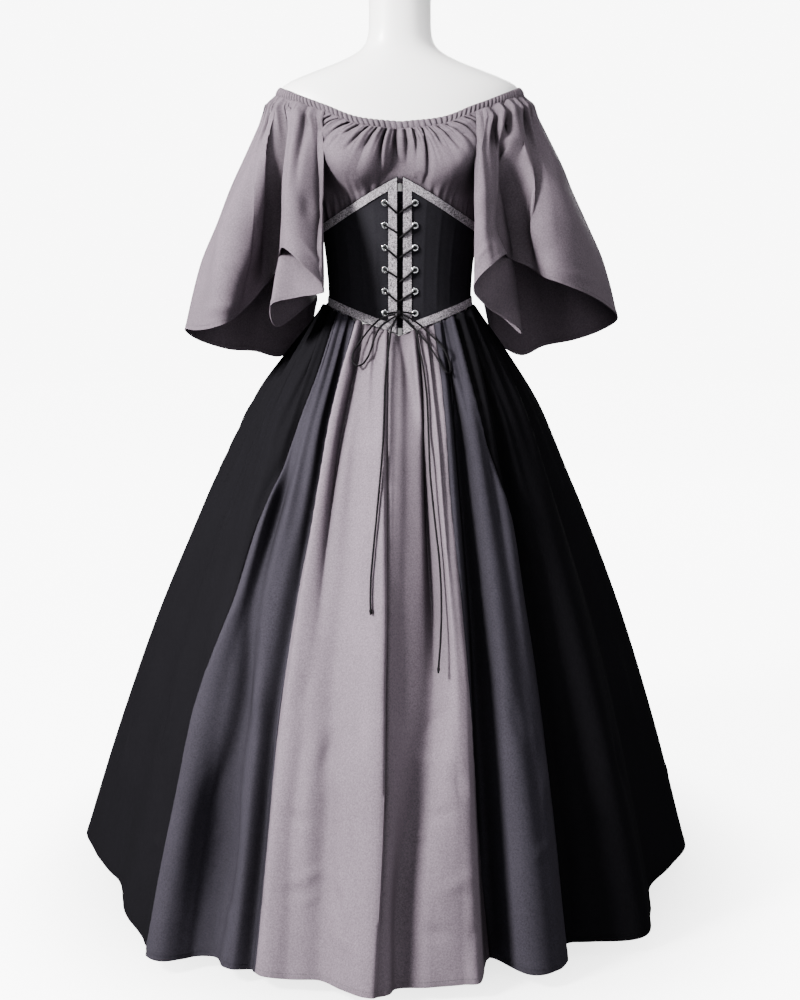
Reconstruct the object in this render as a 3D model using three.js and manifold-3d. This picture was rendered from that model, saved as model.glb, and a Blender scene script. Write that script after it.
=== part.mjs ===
// A floor-length laced dress on a limbless dress form, standing on the form's own pole and round base.
// Millimetres, +Z up, the front of the dress faces -Y, and the origin is the centre of the base's underside.
// Left and right are the wearer's, so "left" is at +X.
// An angle round the body is in degrees: 0 is the centre front, 90 the wearer's left side, 180 the centre back.
import * as THREE from "three";
import { mergeVertices } from "three/addons/utils/BufferGeometryUtils.js";
import Module from "manifold-3d";

const wasm = await Module();
wasm.setup();

// Driving sizes
const CLOTH = 1.4; // wall of the dress cloth
const CORSET_CLOTH = 2.4; // wall of the boned corset front and back
const MODESTY_CLOTH = 0.7; // wall of the thin panel behind the lacing
const SEAM_GAP = 0.3; // between pieces that are sewn together
const HEM_HEIGHT = 25; // of the skirt's hem above the floor
const HEM_RADIUS = 540; // mean radius of the hem
const HEM_SWAY = -26; // how far the hem hangs to the wearer's right
const BASE_RADIUS = 190;
const BASE_THICKNESS = 6;
const POLE_RADIUS = 15;
const BUST_PUSH = 24; // how far each side of the bust stands forward of the chest
const BUST_HEIGHT = 1283;
const BUST_REACH = 46; // height over which the bust fades
const BUST_ANGLE = 36;
const BUST_SPREAD = 21; // degrees over which the bust fades
const SQUARENESS = 0.93; // 1 is a plain ellipse, less is squarer

// Distances of each layer's middle from the form's surface
const CASING_OUT = 2.9;
const BODICE_OUT = 4.3;
const BODICE_TUCK_OUT = 2.2;
const MODESTY_OUT = 0.95;
const CORSET_OUT = 6;
const SKIRT_OUT = 7.5;
const TRIM_OUT = 8.1;

// Heights on the corset
const CORSET_TOP_SIDE = 1173;
const CORSET_TOP_RISE = 81; // to the two points at the centre front
const CORSET_BOTTOM_SIDE = 1034;
const CORSET_BOTTOM_DROP = 45; // to the two points at the centre front
const FRONT_GAP = 3.8; // half the gap between the corset's front edges
const TUCK = 12; // how far the bodice runs down behind the corset

// The form: half width, and depth to the front and to the back, at each height
const TORSO = [
  { z: 806, half: 112, front: 76, back: 84 },
  { z: 816, half: 143, front: 97, back: 107 },
  { z: 860, half: 160, front: 107, back: 119 },
  { z: 920, half: 151, front: 105, back: 112 },
  { z: 980, half: 131, front: 97, back: 97 },
  { z: 1035, half: 119, front: 91, back: 84 },
  { z: 1100, half: 121, front: 92, back: 88 },
  { z: 1165, half: 130, front: 98, back: 96 },
  { z: 1225, half: 143, front: 105, back: 103 },
  { z: 1285, half: 162, front: 109, back: 107 },
  { z: 1335, half: 190, front: 100, back: 105 },
  { z: 1375, half: 207, front: 86, back: 98 },
  { z: 1398, half: 207, front: 77, back: 90 },
  { z: 1412, half: 193, front: 71, back: 83 },
  { z: 1427, half: 158, front: 65, back: 76 },
  { z: 1449, half: 100, front: 56, back: 66 },
  { z: 1466, half: 69, front: 50, back: 58 },
  { z: 1486, half: 56, front: 48, back: 53 },
  { z: 1530, half: 53, front: 49, back: 51 },
  { z: 1572, half: 54, front: 51, back: 52 },
];
const FORM_ROWS = 21;
const FORM_SIDES = 28;

// Height of the elastic neckline's lower edge round the shoulders
const NECKLINE = [
  { deg: 0, z: 1328 },
  { deg: 20, z: 1337 },
  { deg: 36, z: 1358 },
  { deg: 60, z: 1381 },
  { deg: 90, z: 1391 },
  { deg: 120, z: 1386 },
  { deg: 150, z: 1370 },
  { deg: 180, z: 1362 },
];
const CASING_HEIGHT = 11;
const CASING_GAP = 1.3;
const CASING_WALL = 2;
const ARMHOLE_DEG = 37; // where the sleeve meets the bodice at the neckline, front and back
const UNDERARM = 1226;
const GATHER = 2.2; // half the height of the gathers just under the elastic
const FRONT_GATHERS = 18;
const SLEEVE_GATHERS = 15;
const CASING_CRIMP = 0.9;

// The skirt's radius against its height, as a share of the way from waist to hem
const SKIRT_PROFILE = [
  { drop: 0, spread: 0 },
  { drop: 0.08, spread: 0.143 },
  { drop: 0.164, spread: 0.276 },
  { drop: 0.237, spread: 0.36 },
  { drop: 0.382, spread: 0.512 },
  { drop: 0.531, spread: 0.656 },
  { drop: 0.682, spread: 0.783 },
  { drop: 0.836, spread: 0.893 },
  { drop: 1, spread: 1 },
];

// The skirt's folds from the wearer's right side round the front to the left side. Ridges and hollows take turns.
// waist and hem are where the fold line starts and ends, in degrees; the pushes are how far it stands out there.
const FRONT_FOLDS = [
  { waist: -113, hem: -111, waistPush: -4, hemPush: 6 },
  { waist: -106, hem: -97, waistPush: 4, hemPush: 40 },
  { waist: -100, hem: -86, waistPush: -4, hemPush: 3 },
  { waist: -94, hem: -76, waistPush: 4, hemPush: -26 },
  { waist: -89, hem: -68, waistPush: -4, hemPush: -38 },
  { waist: -85, hem: -56, waistPush: 4, hemPush: -12 },
  { waist: -81, hem: -47, waistPush: -3, hemPush: 8 },
  { waist: -76, hem: -39, waistPush: 5, hemPush: 40 },
  { waist: -68, hem: -35, waistPush: -5, hemPush: 14 },
  { waist: -61, hem: -31.5, waistPush: 4, hemPush: -17 },
  { waist: -54, hem: -27.5, waistPush: -5, hemPush: -4 },
  { waist: -48, hem: -23.2, waistPush: 3, hemPush: -8 },
  { waist: -42, hem: -20, waistPush: -5, hemPush: -3 },
  { waist: -32, hem: -16, waistPush: 6, hemPush: -2 },
  { waist: -21, hem: -11, waistPush: -4, hemPush: -14 },
  { waist: -11, hem: -6.3, waistPush: 2, hemPush: 9 },
  { waist: -3, hem: -1.2, waistPush: 4, hemPush: 27 },
  { waist: 5, hem: 3.4, waistPush: -3, hemPush: 11 },
  { waist: 13, hem: 8.5, waistPush: 3, hemPush: 5 },
  { waist: 21, hem: 13, waistPush: -5, hemPush: 4 },
  { waist: 28, hem: 16.4, waistPush: 5, hemPush: 1 },
  { waist: 33, hem: 20.8, waistPush: -7, hemPush: -62 },
  { waist: 39, hem: 24.6, waistPush: 4, hemPush: 9 },
  { waist: 45, hem: 29, waistPush: -5, hemPush: 17 },
  { waist: 51, hem: 32, waistPush: 5, hemPush: 2 },
  { waist: 57, hem: 36.3, waistPush: -5, hemPush: -43 },
  { waist: 64, hem: 41, waistPush: 4, hemPush: -20 },
  { waist: 71, hem: 48.5, waistPush: -4, hemPush: 28 },
  { waist: 78, hem: 57, waistPush: 4, hemPush: -2 },
  { waist: 85, hem: 68, waistPush: -4, hemPush: -34 },
  { waist: 92, hem: 79, waistPush: 4, hemPush: -8 },
  { waist: 98, hem: 90, waistPush: -4, hemPush: 24 },
  { waist: 105, hem: 101, waistPush: 4, hemPush: -12 },
];
// The back, between the last row above and the first: a share of the way, and the hem's push, for each ridge
const BACK_PLEATS = [
  { at: 0.06, hemPush: 10 },
  { at: 0.155, hemPush: 14 },
  { at: 0.25, hemPush: 6 },
  { at: 0.345, hemPush: 15 },
  { at: 0.44, hemPush: 8 },
  { at: 0.54, hemPush: 13 },
  { at: 0.64, hemPush: 17 },
  { at: 0.735, hemPush: 7 },
  { at: 0.83, hemPush: 14 },
  { at: 0.93, hemPush: 9 },
];
const BACK_WAIST_PUSH = 4;
const BACK_HOLLOW = -15;
const SKIRT_ROWS = 7;
const WAIST_GAP = 1.1; // below the corset's edge
const SKIRT_STEPS = 2; // columns between one fold line and the next

// The skirt's panels. Each runs from one seam to the next, counted in fold lines
const SKIRT_PANELS = [
  { name: "skirt_side_right", from: -2.5, to: 7.25, cloth: "black" },
  { name: "skirt_gore_right", from: 7.25, to: 11.1, cloth: "charcoal" },
  { name: "skirt_front_right", from: 11.1, to: 16, cloth: "dove" },
  { name: "skirt_front_left", from: 16, to: 21, cloth: "dove" },
  { name: "skirt_gore_left", from: 21, to: 25, cloth: "charcoal" },
  { name: "skirt_side_left", from: 25, to: 34.5, cloth: "black" },
  { name: "skirt_back_left", from: 34.5, to: 43, cloth: "black" },
  { name: "skirt_back_right", from: 43, to: 50.5, cloth: "black" },
];

// The sleeves' hems, from the front of the bodice out over the arm and round the back to the front again.
// top: place on the top edge, 0 to 1 along the neckline and 1 to 2 down the back of the armhole and up its front.
// out, y, z: the hem's point, out being the distance from the body's middle. fullX, fullY: how far the cloth
// swells between top and hem.
const SLEEVE_RIGHT_HEM = [
  { top: 0.02, out: 122, y: -168, z: 1068, fullX: 0, fullY: -14 },
  { top: 0.1, out: 163, y: -178, z: 1112, fullX: 3, fullY: -16 },
  { top: 0.19, out: 192, y: -150, z: 1136, fullX: 8, fullY: -16 },
  { top: 0.25, out: 207, y: -96, z: 1106, fullX: 6, fullY: -10 },
  { top: 0.3, out: 236, y: -62, z: 1066, fullX: 12, fullY: -8 },
  { top: 0.35, out: 272, y: -88, z: 1028, fullX: 16, fullY: -8 },
  { top: 0.41, out: 306, y: -106, z: 1004, fullX: 19, fullY: -9 },
  { top: 0.48, out: 349, y: -62, z: 994, fullX: 22, fullY: -4 },
  { top: 0.55, out: 384, y: 8, z: 991, fullX: 24, fullY: 0 },
  { top: 0.64, out: 368, y: 66, z: 968, fullX: 20, fullY: 5 },
  { top: 0.74, out: 318, y: 92, z: 949, fullX: 14, fullY: 10 },
  { top: 0.85, out: 272, y: 131, z: 942, fullX: 8, fullY: 16 },
  { top: 0.97, out: 222, y: 138, z: 932, fullX: 4, fullY: 15 },
  { top: 1.08, out: 174, y: 138, z: 968, fullX: 3, fullY: 12 },
  { top: 1.25, out: 154, y: 90, z: 1032, fullX: 3, fullY: 6 },
  { top: 1.42, out: 151, y: 28, z: 1046, fullX: 3, fullY: 0 },
  { top: 1.58, out: 160, y: -46, z: 1036, fullX: 5, fullY: -2 },
  { top: 1.68, out: 209, y: -101, z: 1002, fullX: 4, fullY: -4 },
  { top: 1.77, out: 217, y: -132, z: 1041, fullX: 3, fullY: -6 },
  { top: 1.87, out: 172, y: -139, z: 1054, fullX: 1, fullY: -9 },
];
const SLEEVE_LEFT_HEM = [
  { top: 0.02, out: 122, y: -166, z: 1069, fullX: 0, fullY: -14 },
  { top: 0.1, out: 146, y: -179, z: 1104, fullX: 3, fullY: -16 },
  { top: 0.18, out: 176, y: -156, z: 1125, fullX: 8, fullY: -16 },
  { top: 0.24, out: 197, y: -104, z: 1117, fullX: 6, fullY: -10 },
  { top: 0.3, out: 223, y: -90, z: 1101, fullX: 12, fullY: -8 },
  { top: 0.37, out: 262, y: -118, z: 1078, fullX: 16, fullY: -9 },
  { top: 0.44, out: 313, y: -104, z: 1058, fullX: 20, fullY: -8 },
  { top: 0.5, out: 356, y: -54, z: 1036, fullX: 23, fullY: -4 },
  { top: 0.56, out: 385, y: 8, z: 1010, fullX: 25, fullY: 0 },
  { top: 0.65, out: 368, y: 66, z: 986, fullX: 20, fullY: 5 },
  { top: 0.74, out: 322, y: 94, z: 966, fullX: 14, fullY: 10 },
  { top: 0.85, out: 270, y: 131, z: 952, fullX: 8, fullY: 16 },
  { top: 0.97, out: 224, y: 138, z: 934, fullX: 4, fullY: 15 },
  { top: 1.08, out: 176, y: 138, z: 966, fullX: 3, fullY: 12 },
  { top: 1.25, out: 154, y: 90, z: 1030, fullX: 3, fullY: 6 },
  { top: 1.42, out: 151, y: 28, z: 1044, fullX: 3, fullY: 0 },
  { top: 1.58, out: 160, y: -40, z: 1032, fullX: 5, fullY: -2 },
  { top: 1.68, out: 206, y: -66, z: 990, fullX: 4, fullY: -3 },
  { top: 1.77, out: 197, y: -108, z: 1004, fullX: 3, fullY: -6 },
  { top: 1.87, out: 148, y: -138, z: 1036, fullX: 1, fullY: -9 },
];
const SLEEVE_ROWS = 6;
const ARMHOLE_COLUMNS = 10;
const ARMHOLE_LAP = 3.4; // the sleeve's armhole edge lies this far over the bodice's
const SLEEVE_DEG = ARMHOLE_DEG - 1.4;

// Eyelets and lace
const EYELET_X = 25.4;
const EYELET_HEIGHTS = [1209, 1172, 1135, 1098, 1062, 1025];
const EYELET_OUTER = 6.1;
const EYELET_HOLE = 3.1;
const LACE_DIAMETER = 2.6;
const LACE_SIDES = 8;
const END_KNOT_RADIUS = 2.5;
const CROSSING_SHIFT = 2; // one lace passes this far above the crossing's middle, the other below
const TRIM_WIDTH = 14;
const TRIM_WALL = 1.2;
const TRIM_INSET = 1.4; // the corset's own edge shows beyond the trim

// The bow: its knot, and the routes of its loops and free ends from the knot outwards, as x, y, z
const KNOT = { x: -2, y: -107, z: 1026, wide: 6, deep: 4.5, tall: 4.5 };
const LOOP_LEFT = [
  [4.3, -108, 1024], [16, -112, 1018], [27.5, -111.5, 1011], [44.5, -112, 997], [61, -124, 981.5],
  [73, -132, 969], [80.5, -134, 953], [84.5, -143, 937], [81.5, -151, 929], [72, -157, 938],
  [60.5, -143, 956], [47.3, -128, 975], [30.5, -119, 994], [12, -112.5, 1011], [2.4, -108, 1021.2],
];
const LOOP_RIGHT = [
  [-8.3, -108, 1024], [-20, -109, 1021], [-37.4, -107, 1013.5], [-56, -111.5, 994], [-69.2, -127, 976.5],
  [-78, -138, 962.5], [-79.5, -147.5, 949], [-72.1, -152.5, 941], [-62.1, -149, 944], [-54, -140, 955],
  [-49, -131.5, 966.5], [-43, -118.5, 985], [-33, -110, 1003], [-19, -109.5, 1014], [-6.2, -108, 1021.4],
];
const TAIL_LEFT = [
  [-0.1, -105.6, 1020.5], [7, -107.4, 1015.5], [17, -107.6, 1008], [25, -109.5, 999.5], [29, -115, 990],
  [33.7, -137, 963], [38.6, -154, 941], [41.7, -170.5, 919], [44.8, -190.5, 888], [46.3, -215.5, 849.5],
  [47.6, -240, 811.5], [49.2, -260.5, 773.5], [53.6, -281.5, 728], [58.3, -300.5, 685.5], [62.5, -316, 649.5],
  [65.3, -334, 607.5], [65.8, -352, 568], [64, -371.5, 527], [61.5, -384.5, 498], [60.6, -390, 486],
  [60.5, -393, 480],
];
const TAIL_RIGHT = [
  [-3.9, -105.6, 1020.5], [-9, -107.4, 1013], [-13.4, -107.6, 1004], [-15.8, -110, 994], [-17.2, -122, 981.5],
  [-20.3, -142, 958], [-23.3, -164, 932], [-25, -186, 904.5], [-25.8, -207, 873.5], [-27.2, -234.5, 832],
  [-31, -266.5, 782.5], [-35.6, -290, 734], [-39.4, -309, 695], [-43, -326, 659], [-46, -341.5, 624],
  [-46.8, -357, 591.5], [-46.2, -364, 577], [-45.9, -367, 571],
];

const paint = {
  dove: { color: 0xa49aa3, roughness: 0.86, metalness: 0 },
  charcoal: { color: 0x4a4850, roughness: 0.88, metalness: 0 },
  black: { color: 0x1c1b1f, roughness: 0.9, metalness: 0 },
  corset: { color: 0x141417, roughness: 0.8, metalness: 0 },
  braid: { color: 0xb2aab4, roughness: 0.7, metalness: 0.15 },
  lace: { color: 0x0c0c0e, roughness: 0.6, metalness: 0 },
  eyelet: { color: 0xc9c9cc, roughness: 0.28, metalness: 1 },
  form: { color: 0xf2f0ee, roughness: 0.35, metalness: 0 },
  steel: { color: 0xb9babd, roughness: 0.3, metalness: 1 },
};

const dress = new THREE.Group();

function addMesh(name, geometry, finish) {
  const mesh = new THREE.Mesh(geometry, new THREE.MeshStandardMaterial(paint[finish]));
  mesh.name = name;
  dress.add(mesh);
  return mesh;
}

const radians = (degrees) => (degrees * Math.PI) / 180;
const mix = (a, b, t) => a + (b - a) * t;
const clamp = (x, low, high) => Math.min(high, Math.max(low, x));
const smooth = (t) => t * t * (3 - 2 * t);
const bell = (x) => Math.exp(-x * x);
const signedPower = (x, p) => Math.sign(x) * Math.abs(x) ** p;

// The value of a table's column at a place between its rows, on a smooth curve through them
function along(table, key, at, column) {
  const last = table.length - 1;
  let i = 0;
  while (i < last - 1 && at > table[i + 1][key]) i += 1;
  const slope = (a, b) => (table[b][column] - table[a][column]) / (table[b][key] - table[a][key]);
  const width = table[i + 1][key] - table[i][key];
  const t = clamp((at - table[i][key]) / width, 0, 1);
  const before = slope(Math.max(i - 1, 0), i + 1) * width;
  const after = slope(i, Math.min(i + 2, last)) * width;
  const square = t * t;
  const cube = square * t;
  return (
    (2 * cube - 3 * square + 1) * table[i][column] +
    (cube - 2 * square + t) * before +
    (3 * square - 2 * cube) * table[i + 1][column] +
    (cube - square) * after
  );
}

// A smooth closed curve through a list of rows, at a place counted in rows
function around(rows, at, column) {
  const count = rows.length;
  const i = Math.floor(at);
  const t = at - i;
  const [a, b, c, d] = [-1, 0, 1, 2].map((k) => column(rows[(((i + k) % count) + count) % count], i + k));
  return 0.5 * (2 * b + (c - a) * t + (2 * a - 5 * b + 4 * c - d) * t * t + (3 * b - a - 3 * c + d) * t ** 3);
}

// A point beside the form's surface, out millimetres away from it
function bodyPoint(deg, z, out = 0) {
  const angle = radians(deg);
  const sine = signedPower(Math.sin(angle), SQUARENESS);
  const cosine = signedPower(Math.cos(angle), SQUARENESS);
  const depth = along(TORSO, "z", z, cosine > 0 ? "front" : "back");
  const folded = Math.abs(((deg + 540) % 360) - 180);
  const bust = BUST_PUSH * bell((folded - BUST_ANGLE) / BUST_SPREAD) * bell((z - BUST_HEIGHT) / BUST_REACH);
  return new THREE.Vector3(
    (along(TORSO, "z", z, "half") + out) * sine,
    -(depth + out) * cosine - bust,
    z,
  );
}

function necklineHeight(deg) {
  return along(NECKLINE, "deg", Math.abs(((deg + 540) % 360) - 180), "z");
}

const frontness = (deg) => (Math.cos(radians(deg)) > 0 ? 1 - Math.abs(Math.sin(radians(deg))) : 0);
const corsetTop = (deg) => CORSET_TOP_SIDE + CORSET_TOP_RISE * frontness(deg) ** 1.1;
const corsetBottom = (deg) => CORSET_BOTTOM_SIDE - CORSET_BOTTOM_DROP * frontness(deg);

// A closed wall on a surface. surface(u, v) gives the middle of the wall for u and v from 0 to 1. The wall's ends
// are "free", or "joined" where the surface runs on past them, or a "ring" where they meet
function wall(surface, columns, rows, thickness, ends = "free") {
  const ring = ends === "ring";
  const places = Array.isArray(columns) ? columns : Array.from({ length: columns + 1 }, (_, i) => i / columns);
  const across = ring ? places.slice(0, -1) : places;
  const nudge = 0.25 / places.length;
  const drop = 0.1 / rows;
  const positions = [];
  const wrap = (u) => {
    if (ring) return (u + 1) % 1;
    return ends === "joined" ? u : clamp(u, 0, 1);
  };
  for (const side of [0.5, -0.5]) {
    for (let j = 0; j <= rows; j += 1) {
      const v = j / rows;
      for (const u of across) {
        const alongU = surface(wrap(u + nudge), v).sub(surface(wrap(u - nudge), v));
        const alongV = surface(u, clamp(v + drop, 0, 1)).sub(surface(u, clamp(v - drop, 0, 1)));
        const normal = alongU.cross(alongV).normalize();
        const point = surface(u, v).addScaledVector(normal, side * thickness);
        positions.push(point.x, point.y, point.z);
      }
    }
  }
  const wide = across.length;
  const layer = wide * (rows + 1);
  const index = [];
  const quad = (a, b, c, d) => index.push(a, b, c, a, c, d);
  const spans = ring ? wide : wide - 1;
  for (let j = 0; j < rows; j += 1) {
    for (let i = 0; i < spans; i += 1) {
      const [a, b] = [j * wide + i, j * wide + ((i + 1) % wide)];
      quad(a, b, b + wide, a + wide);
      quad(layer + a, layer + a + wide, layer + b + wide, layer + b);
    }
  }
  for (let i = 0; i < spans; i += 1) {
    const [a, b] = [i, (i + 1) % wide];
    quad(layer + a, layer + b, b, a);
    const foot = rows * wide;
    quad(foot + a, foot + b, layer + foot + b, layer + foot + a);
  }
  if (!ring) {
    for (let j = 0; j < rows; j += 1) {
      const [a, b] = [j * wide, (j + 1) * wide];
      quad(a, b, layer + b, layer + a);
      quad(b + wide - 1, a + wide - 1, layer + a + wide - 1, layer + b + wide - 1);
    }
  }
  return meshOf(positions, index);
}

function meshOf(positions, index) {
  const geometry = new THREE.BufferGeometry();
  geometry.setAttribute("position", new THREE.Float32BufferAttribute(positions, 3));
  geometry.setIndex(index);
  geometry.computeVertexNormals();
  return geometry;
}

function toSolid(geometry) {
  const bare = geometry.clone();
  bare.deleteAttribute("normal");
  bare.deleteAttribute("uv");
  const merged = mergeVertices(bare, 1e-4);
  return new wasm.Manifold(
    new wasm.Mesh({
      numProp: 3,
      vertProperties: new Float32Array(merged.attributes.position.array),
      triVerts: new Uint32Array(merged.index.array),
    }),
  );
}

function fromSolid(solid) {
  const mesh = solid.getMesh();
  return meshOf(Array.from(mesh.vertProperties), Array.from(mesh.triVerts));
}

// Form, pole and base
function formTorso() {
  const sides = FORM_SIDES;
  const [low, high] = [TORSO[0].z, TORSO[TORSO.length - 1].z];
  const heights = [low, ...Array.from({ length: FORM_ROWS }, (_, i) => mix(low + 10, high, i / (FORM_ROWS - 1)))];
  const positions = [0, 0, heights[0]];
  for (const z of heights) {
    for (let i = 0; i < sides; i += 1) {
      const point = bodyPoint((i * 360) / sides, z);
      positions.push(point.x, point.y, point.z);
    }
  }
  positions.push(0, 0, heights[heights.length - 1]);
  const index = [];
  const top = positions.length / 3 - 1;
  for (let i = 0; i < sides; i += 1) {
    const next = (i + 1) % sides;
    index.push(0, 1 + next, 1 + i);
    const crown = 1 + (heights.length - 1) * sides;
    index.push(top, crown + i, crown + next);
    for (let j = 0; j < heights.length - 1; j += 1) {
      const [a, b] = [1 + j * sides + i, 1 + j * sides + next];
      index.push(a, b, b + sides, a, b + sides, a + sides);
    }
  }
  return meshOf(positions, index);
}

function upright(radius, from, to, sides) {
  const geometry = new THREE.CylinderGeometry(radius, radius, to - from, sides);
  geometry.rotateX(Math.PI / 2);
  geometry.translate(0, 0, (from + to) / 2);
  return geometry;
}

addMesh("form_torso", formTorso(), "form");
addMesh("form_pole", upright(POLE_RADIUS, BASE_THICKNESS + SEAM_GAP, TORSO[0].z - SEAM_GAP, 16), "steel");
addMesh("form_base", upright(BASE_RADIUS, 0, BASE_THICKNESS, 40), "steel");

// Neckline: the elastic's casing, crimped once for each gather
const GATHERS_AROUND = 2 * (FRONT_GATHERS + SLEEVE_GATHERS + 3);

function neckCasing() {
  return wall(
    (u, v) => {
      const deg = -360 * u;
      const crimp = CASING_CRIMP * Math.cos(2 * Math.PI * GATHERS_AROUND * u);
      const z = necklineHeight(deg) + CASING_GAP + CASING_HEIGHT * (1 - v);
      const inset = 1.1 * (1 - v); // it leans in towards the neck
      return bodyPoint(deg, z, CASING_OUT + crimp * v - inset);
    },
    GATHERS_AROUND * 2,
    1,
    CASING_WALL,
    "ring",
  );
}

addMesh("neck_casing", neckCasing(), "dove");

// Bodice: gathered into the neckline, tucked behind the corset's top edge
const armholeTop = (back) => necklineHeight(back ? 180 - ARMHOLE_DEG : ARMHOLE_DEG);

// The side edge of a bodice half: down the armhole to the underarm, then down the side seam
function bodiceEdge(v, back) {
  const split = 2 / 3;
  if (v < split) {
    const t = v / split;
    return { deg: mix(ARMHOLE_DEG, 90, t) - 0.3, z: mix(armholeTop(back), UNDERARM, t ** 1.15) };
  }
  return { deg: 89.8, z: mix(UNDERARM, corsetTop(90) - TUCK, (v - split) / (1 - split)) };
}

function bodicePoint(back, u, v) {
  const across = 2 * u - 1; // -1 to 1 from one armhole to the other
  const facing = (deg) => (back ? 180 - deg : deg);
  const edge = bodiceEdge(v, back);
  const deg = facing(edge.deg * across);
  const rim = Math.abs(across) ** 2.4;
  const [neck, tuck] = [necklineHeight(facing(edge.deg)), corsetTop(facing(edge.deg)) - TUCK];
  const fall = mix(v, (neck - edge.z) / (neck - tuck), rim);
  const z = mix(necklineHeight(deg), corsetTop(deg) - TUCK, fall);
  const gather = GATHER * (1 + Math.cos(2 * Math.PI * FRONT_GATHERS * u)) * (1 - v) ** 2.2;
  const swell = 7 * Math.sin(Math.PI * clamp(v * 1.22, 0, 1)) ** 1.2 * (1 - rim);
  const out = mix(BODICE_OUT, BODICE_TUCK_OUT, v ** 3) + gather * (1 - 0.7 * rim) + swell;
  return bodyPoint(deg, z, out);
}

const bodiceColumns = FRONT_GATHERS * 2;
addMesh("bodice_front", wall((u, v) => bodicePoint(false, 1 - u, v), bodiceColumns, 6, CLOTH), "dove");
addMesh("bodice_back", wall((u, v) => bodicePoint(true, u, v), bodiceColumns, 6, CLOTH), "dove");

// Sleeves: each hangs from the neckline and the armhole in a tube with a cascading hem
// The sleeve's top edge, for the wearer's left: 0 to 1 is the neckline from front to back, 1 to 2 the armhole
function sleeveTop(t) {
  if (t <= 1) {
    const deg = mix(SLEEVE_DEG, 180 - SLEEVE_DEG, t);
    return bodyPoint(deg, necklineHeight(deg), BODICE_OUT + ARMHOLE_LAP * (1 - Math.sin(Math.PI * t)) ** 4);
  }
  const back = t < 1.5;
  const drop = back ? (t - 1) * 2 : (2 - t) * 2;
  const turn = mix(SLEEVE_DEG, 90, drop);
  const z = mix(armholeTop(back), UNDERARM, drop ** 1.15);
  return bodyPoint(back ? 180 - turn : turn, z, BODICE_OUT + ARMHOLE_LAP);
}

// Place in the hem table, counted in rows, that belongs to a place on the top edge
function hemRow(hem, top) {
  const count = hem.length;
  for (let i = 0; i < count; i += 1) {
    const from = hem[i].top;
    const to = i + 1 < count ? hem[i + 1].top : hem[0].top + 2;
    if (top >= from && top <= to) return i + (top - from) / (to - from);
  }
  return count - 1 + (top + 2 - hem[count - 1].top) / (hem[0].top + 2 - hem[count - 1].top);
}

function sleevePoint(hem, top, v) {
  const start = sleeveTop(top);
  const row = hemRow(hem, top);
  const end = ["out", "y", "z"].map((name) => around(hem, row, (r) => r[name]));
  const gather = top < 1 ? GATHER * (1 + Math.cos(2 * Math.PI * SLEEVE_GATHERS * top)) * (1 - v) ** 3.5 : 0;
  const full = Math.sin(Math.PI * v ** 0.8);
  const angle = radians(mix(ARMHOLE_DEG, 180 - ARMHOLE_DEG, clamp(top, 0, 1)));
  return new THREE.Vector3(
    mix(start.x, end[0], v) + around(hem, row, (r) => r.fullX) * full + gather * Math.sin(angle),
    mix(start.y, end[1], v) + around(hem, row, (r) => r.fullY) * full - gather * Math.cos(angle),
    mix(start.z, end[2], v),
  );
}

function sleeve(hem, side) {
  const neck = Array.from({ length: SLEEVE_GATHERS * 2 }, (_, i) => i / (SLEEVE_GATHERS * 4));
  const arm = Array.from({ length: ARMHOLE_COLUMNS + 1 }, (_, i) => 0.5 + i / (ARMHOLE_COLUMNS * 2));
  const surface = (u, v) => {
    const point = sleevePoint(hem, clamp(2 * u, 0, 2), v);
    point.x *= side;
    return point;
  };
  const turned = side > 0 ? surface : (u, v) => surface((1 - u) % 1, v);
  const columns = [...neck, ...arm];
  return wall(turned, side > 0 ? columns : columns.map((u) => 1 - u).reverse(), SLEEVE_ROWS, CLOTH, "ring");
}

addMesh("sleeve_left", sleeve(SLEEVE_LEFT_HEM, 1), "dove");
addMesh("sleeve_right", sleeve(SLEEVE_RIGHT_HEM, -1), "dove");

// Skirt
function skirtFolds() {
  const [first, last] = [FRONT_FOLDS[0], FRONT_FOLDS[FRONT_FOLDS.length - 1]];
  const rows = [...FRONT_FOLDS];
  const place = (at) => ({
    waist: mix(last.waist, first.waist + 360, at),
    hem: mix(last.hem, first.hem + 360, at),
  });
  BACK_PLEATS.forEach((pleat, i) => {
    const before = i ? BACK_PLEATS[i - 1].at : 0;
    rows.push({ ...place((before + pleat.at) / 2), waistPush: -BACK_WAIST_PUSH, hemPush: BACK_HOLLOW });
    rows.push({ ...place(pleat.at), waistPush: BACK_WAIST_PUSH, hemPush: pleat.hemPush });
  });
  return rows;
}

const FOLDS = skirtFolds();
const FOLD_COUNT = FOLDS.length;

// fold is counted in fold lines from the first row of the table, drop is 0 at the waist and 1 at the hem
function skirtPoint(fold, drop) {
  const turns = (i) => 360 * Math.floor(i / FOLD_COUNT);
  const waistDeg = around(FOLDS, fold, (r, i) => r.waist + turns(i));
  const hemDeg = around(FOLDS, fold, (r, i) => r.hem + turns(i));
  const top = corsetBottom(waistDeg) - WAIST_GAP;
  const start = bodyPoint(waistDeg, top, SKIRT_OUT + around(FOLDS, fold, (r) => r.waistPush));
  const radius = HEM_RADIUS + around(FOLDS, fold, (r) => r.hemPush);
  const spread = along(SKIRT_PROFILE, "drop", drop, "spread");
  const end = { x: HEM_SWAY + radius * Math.sin(radians(hemDeg)), y: -radius * Math.cos(radians(hemDeg)) };
  return new THREE.Vector3(
    mix(start.x, end.x, spread),
    mix(start.y, end.y, spread),
    mix(top, HEM_HEIGHT, drop),
  );
}

// The seam gap at a height, counted in fold lines, which lie closer together at the waist
const foldGap = (v) => SEAM_GAP / 2 / mix(11, 30, v);

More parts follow.
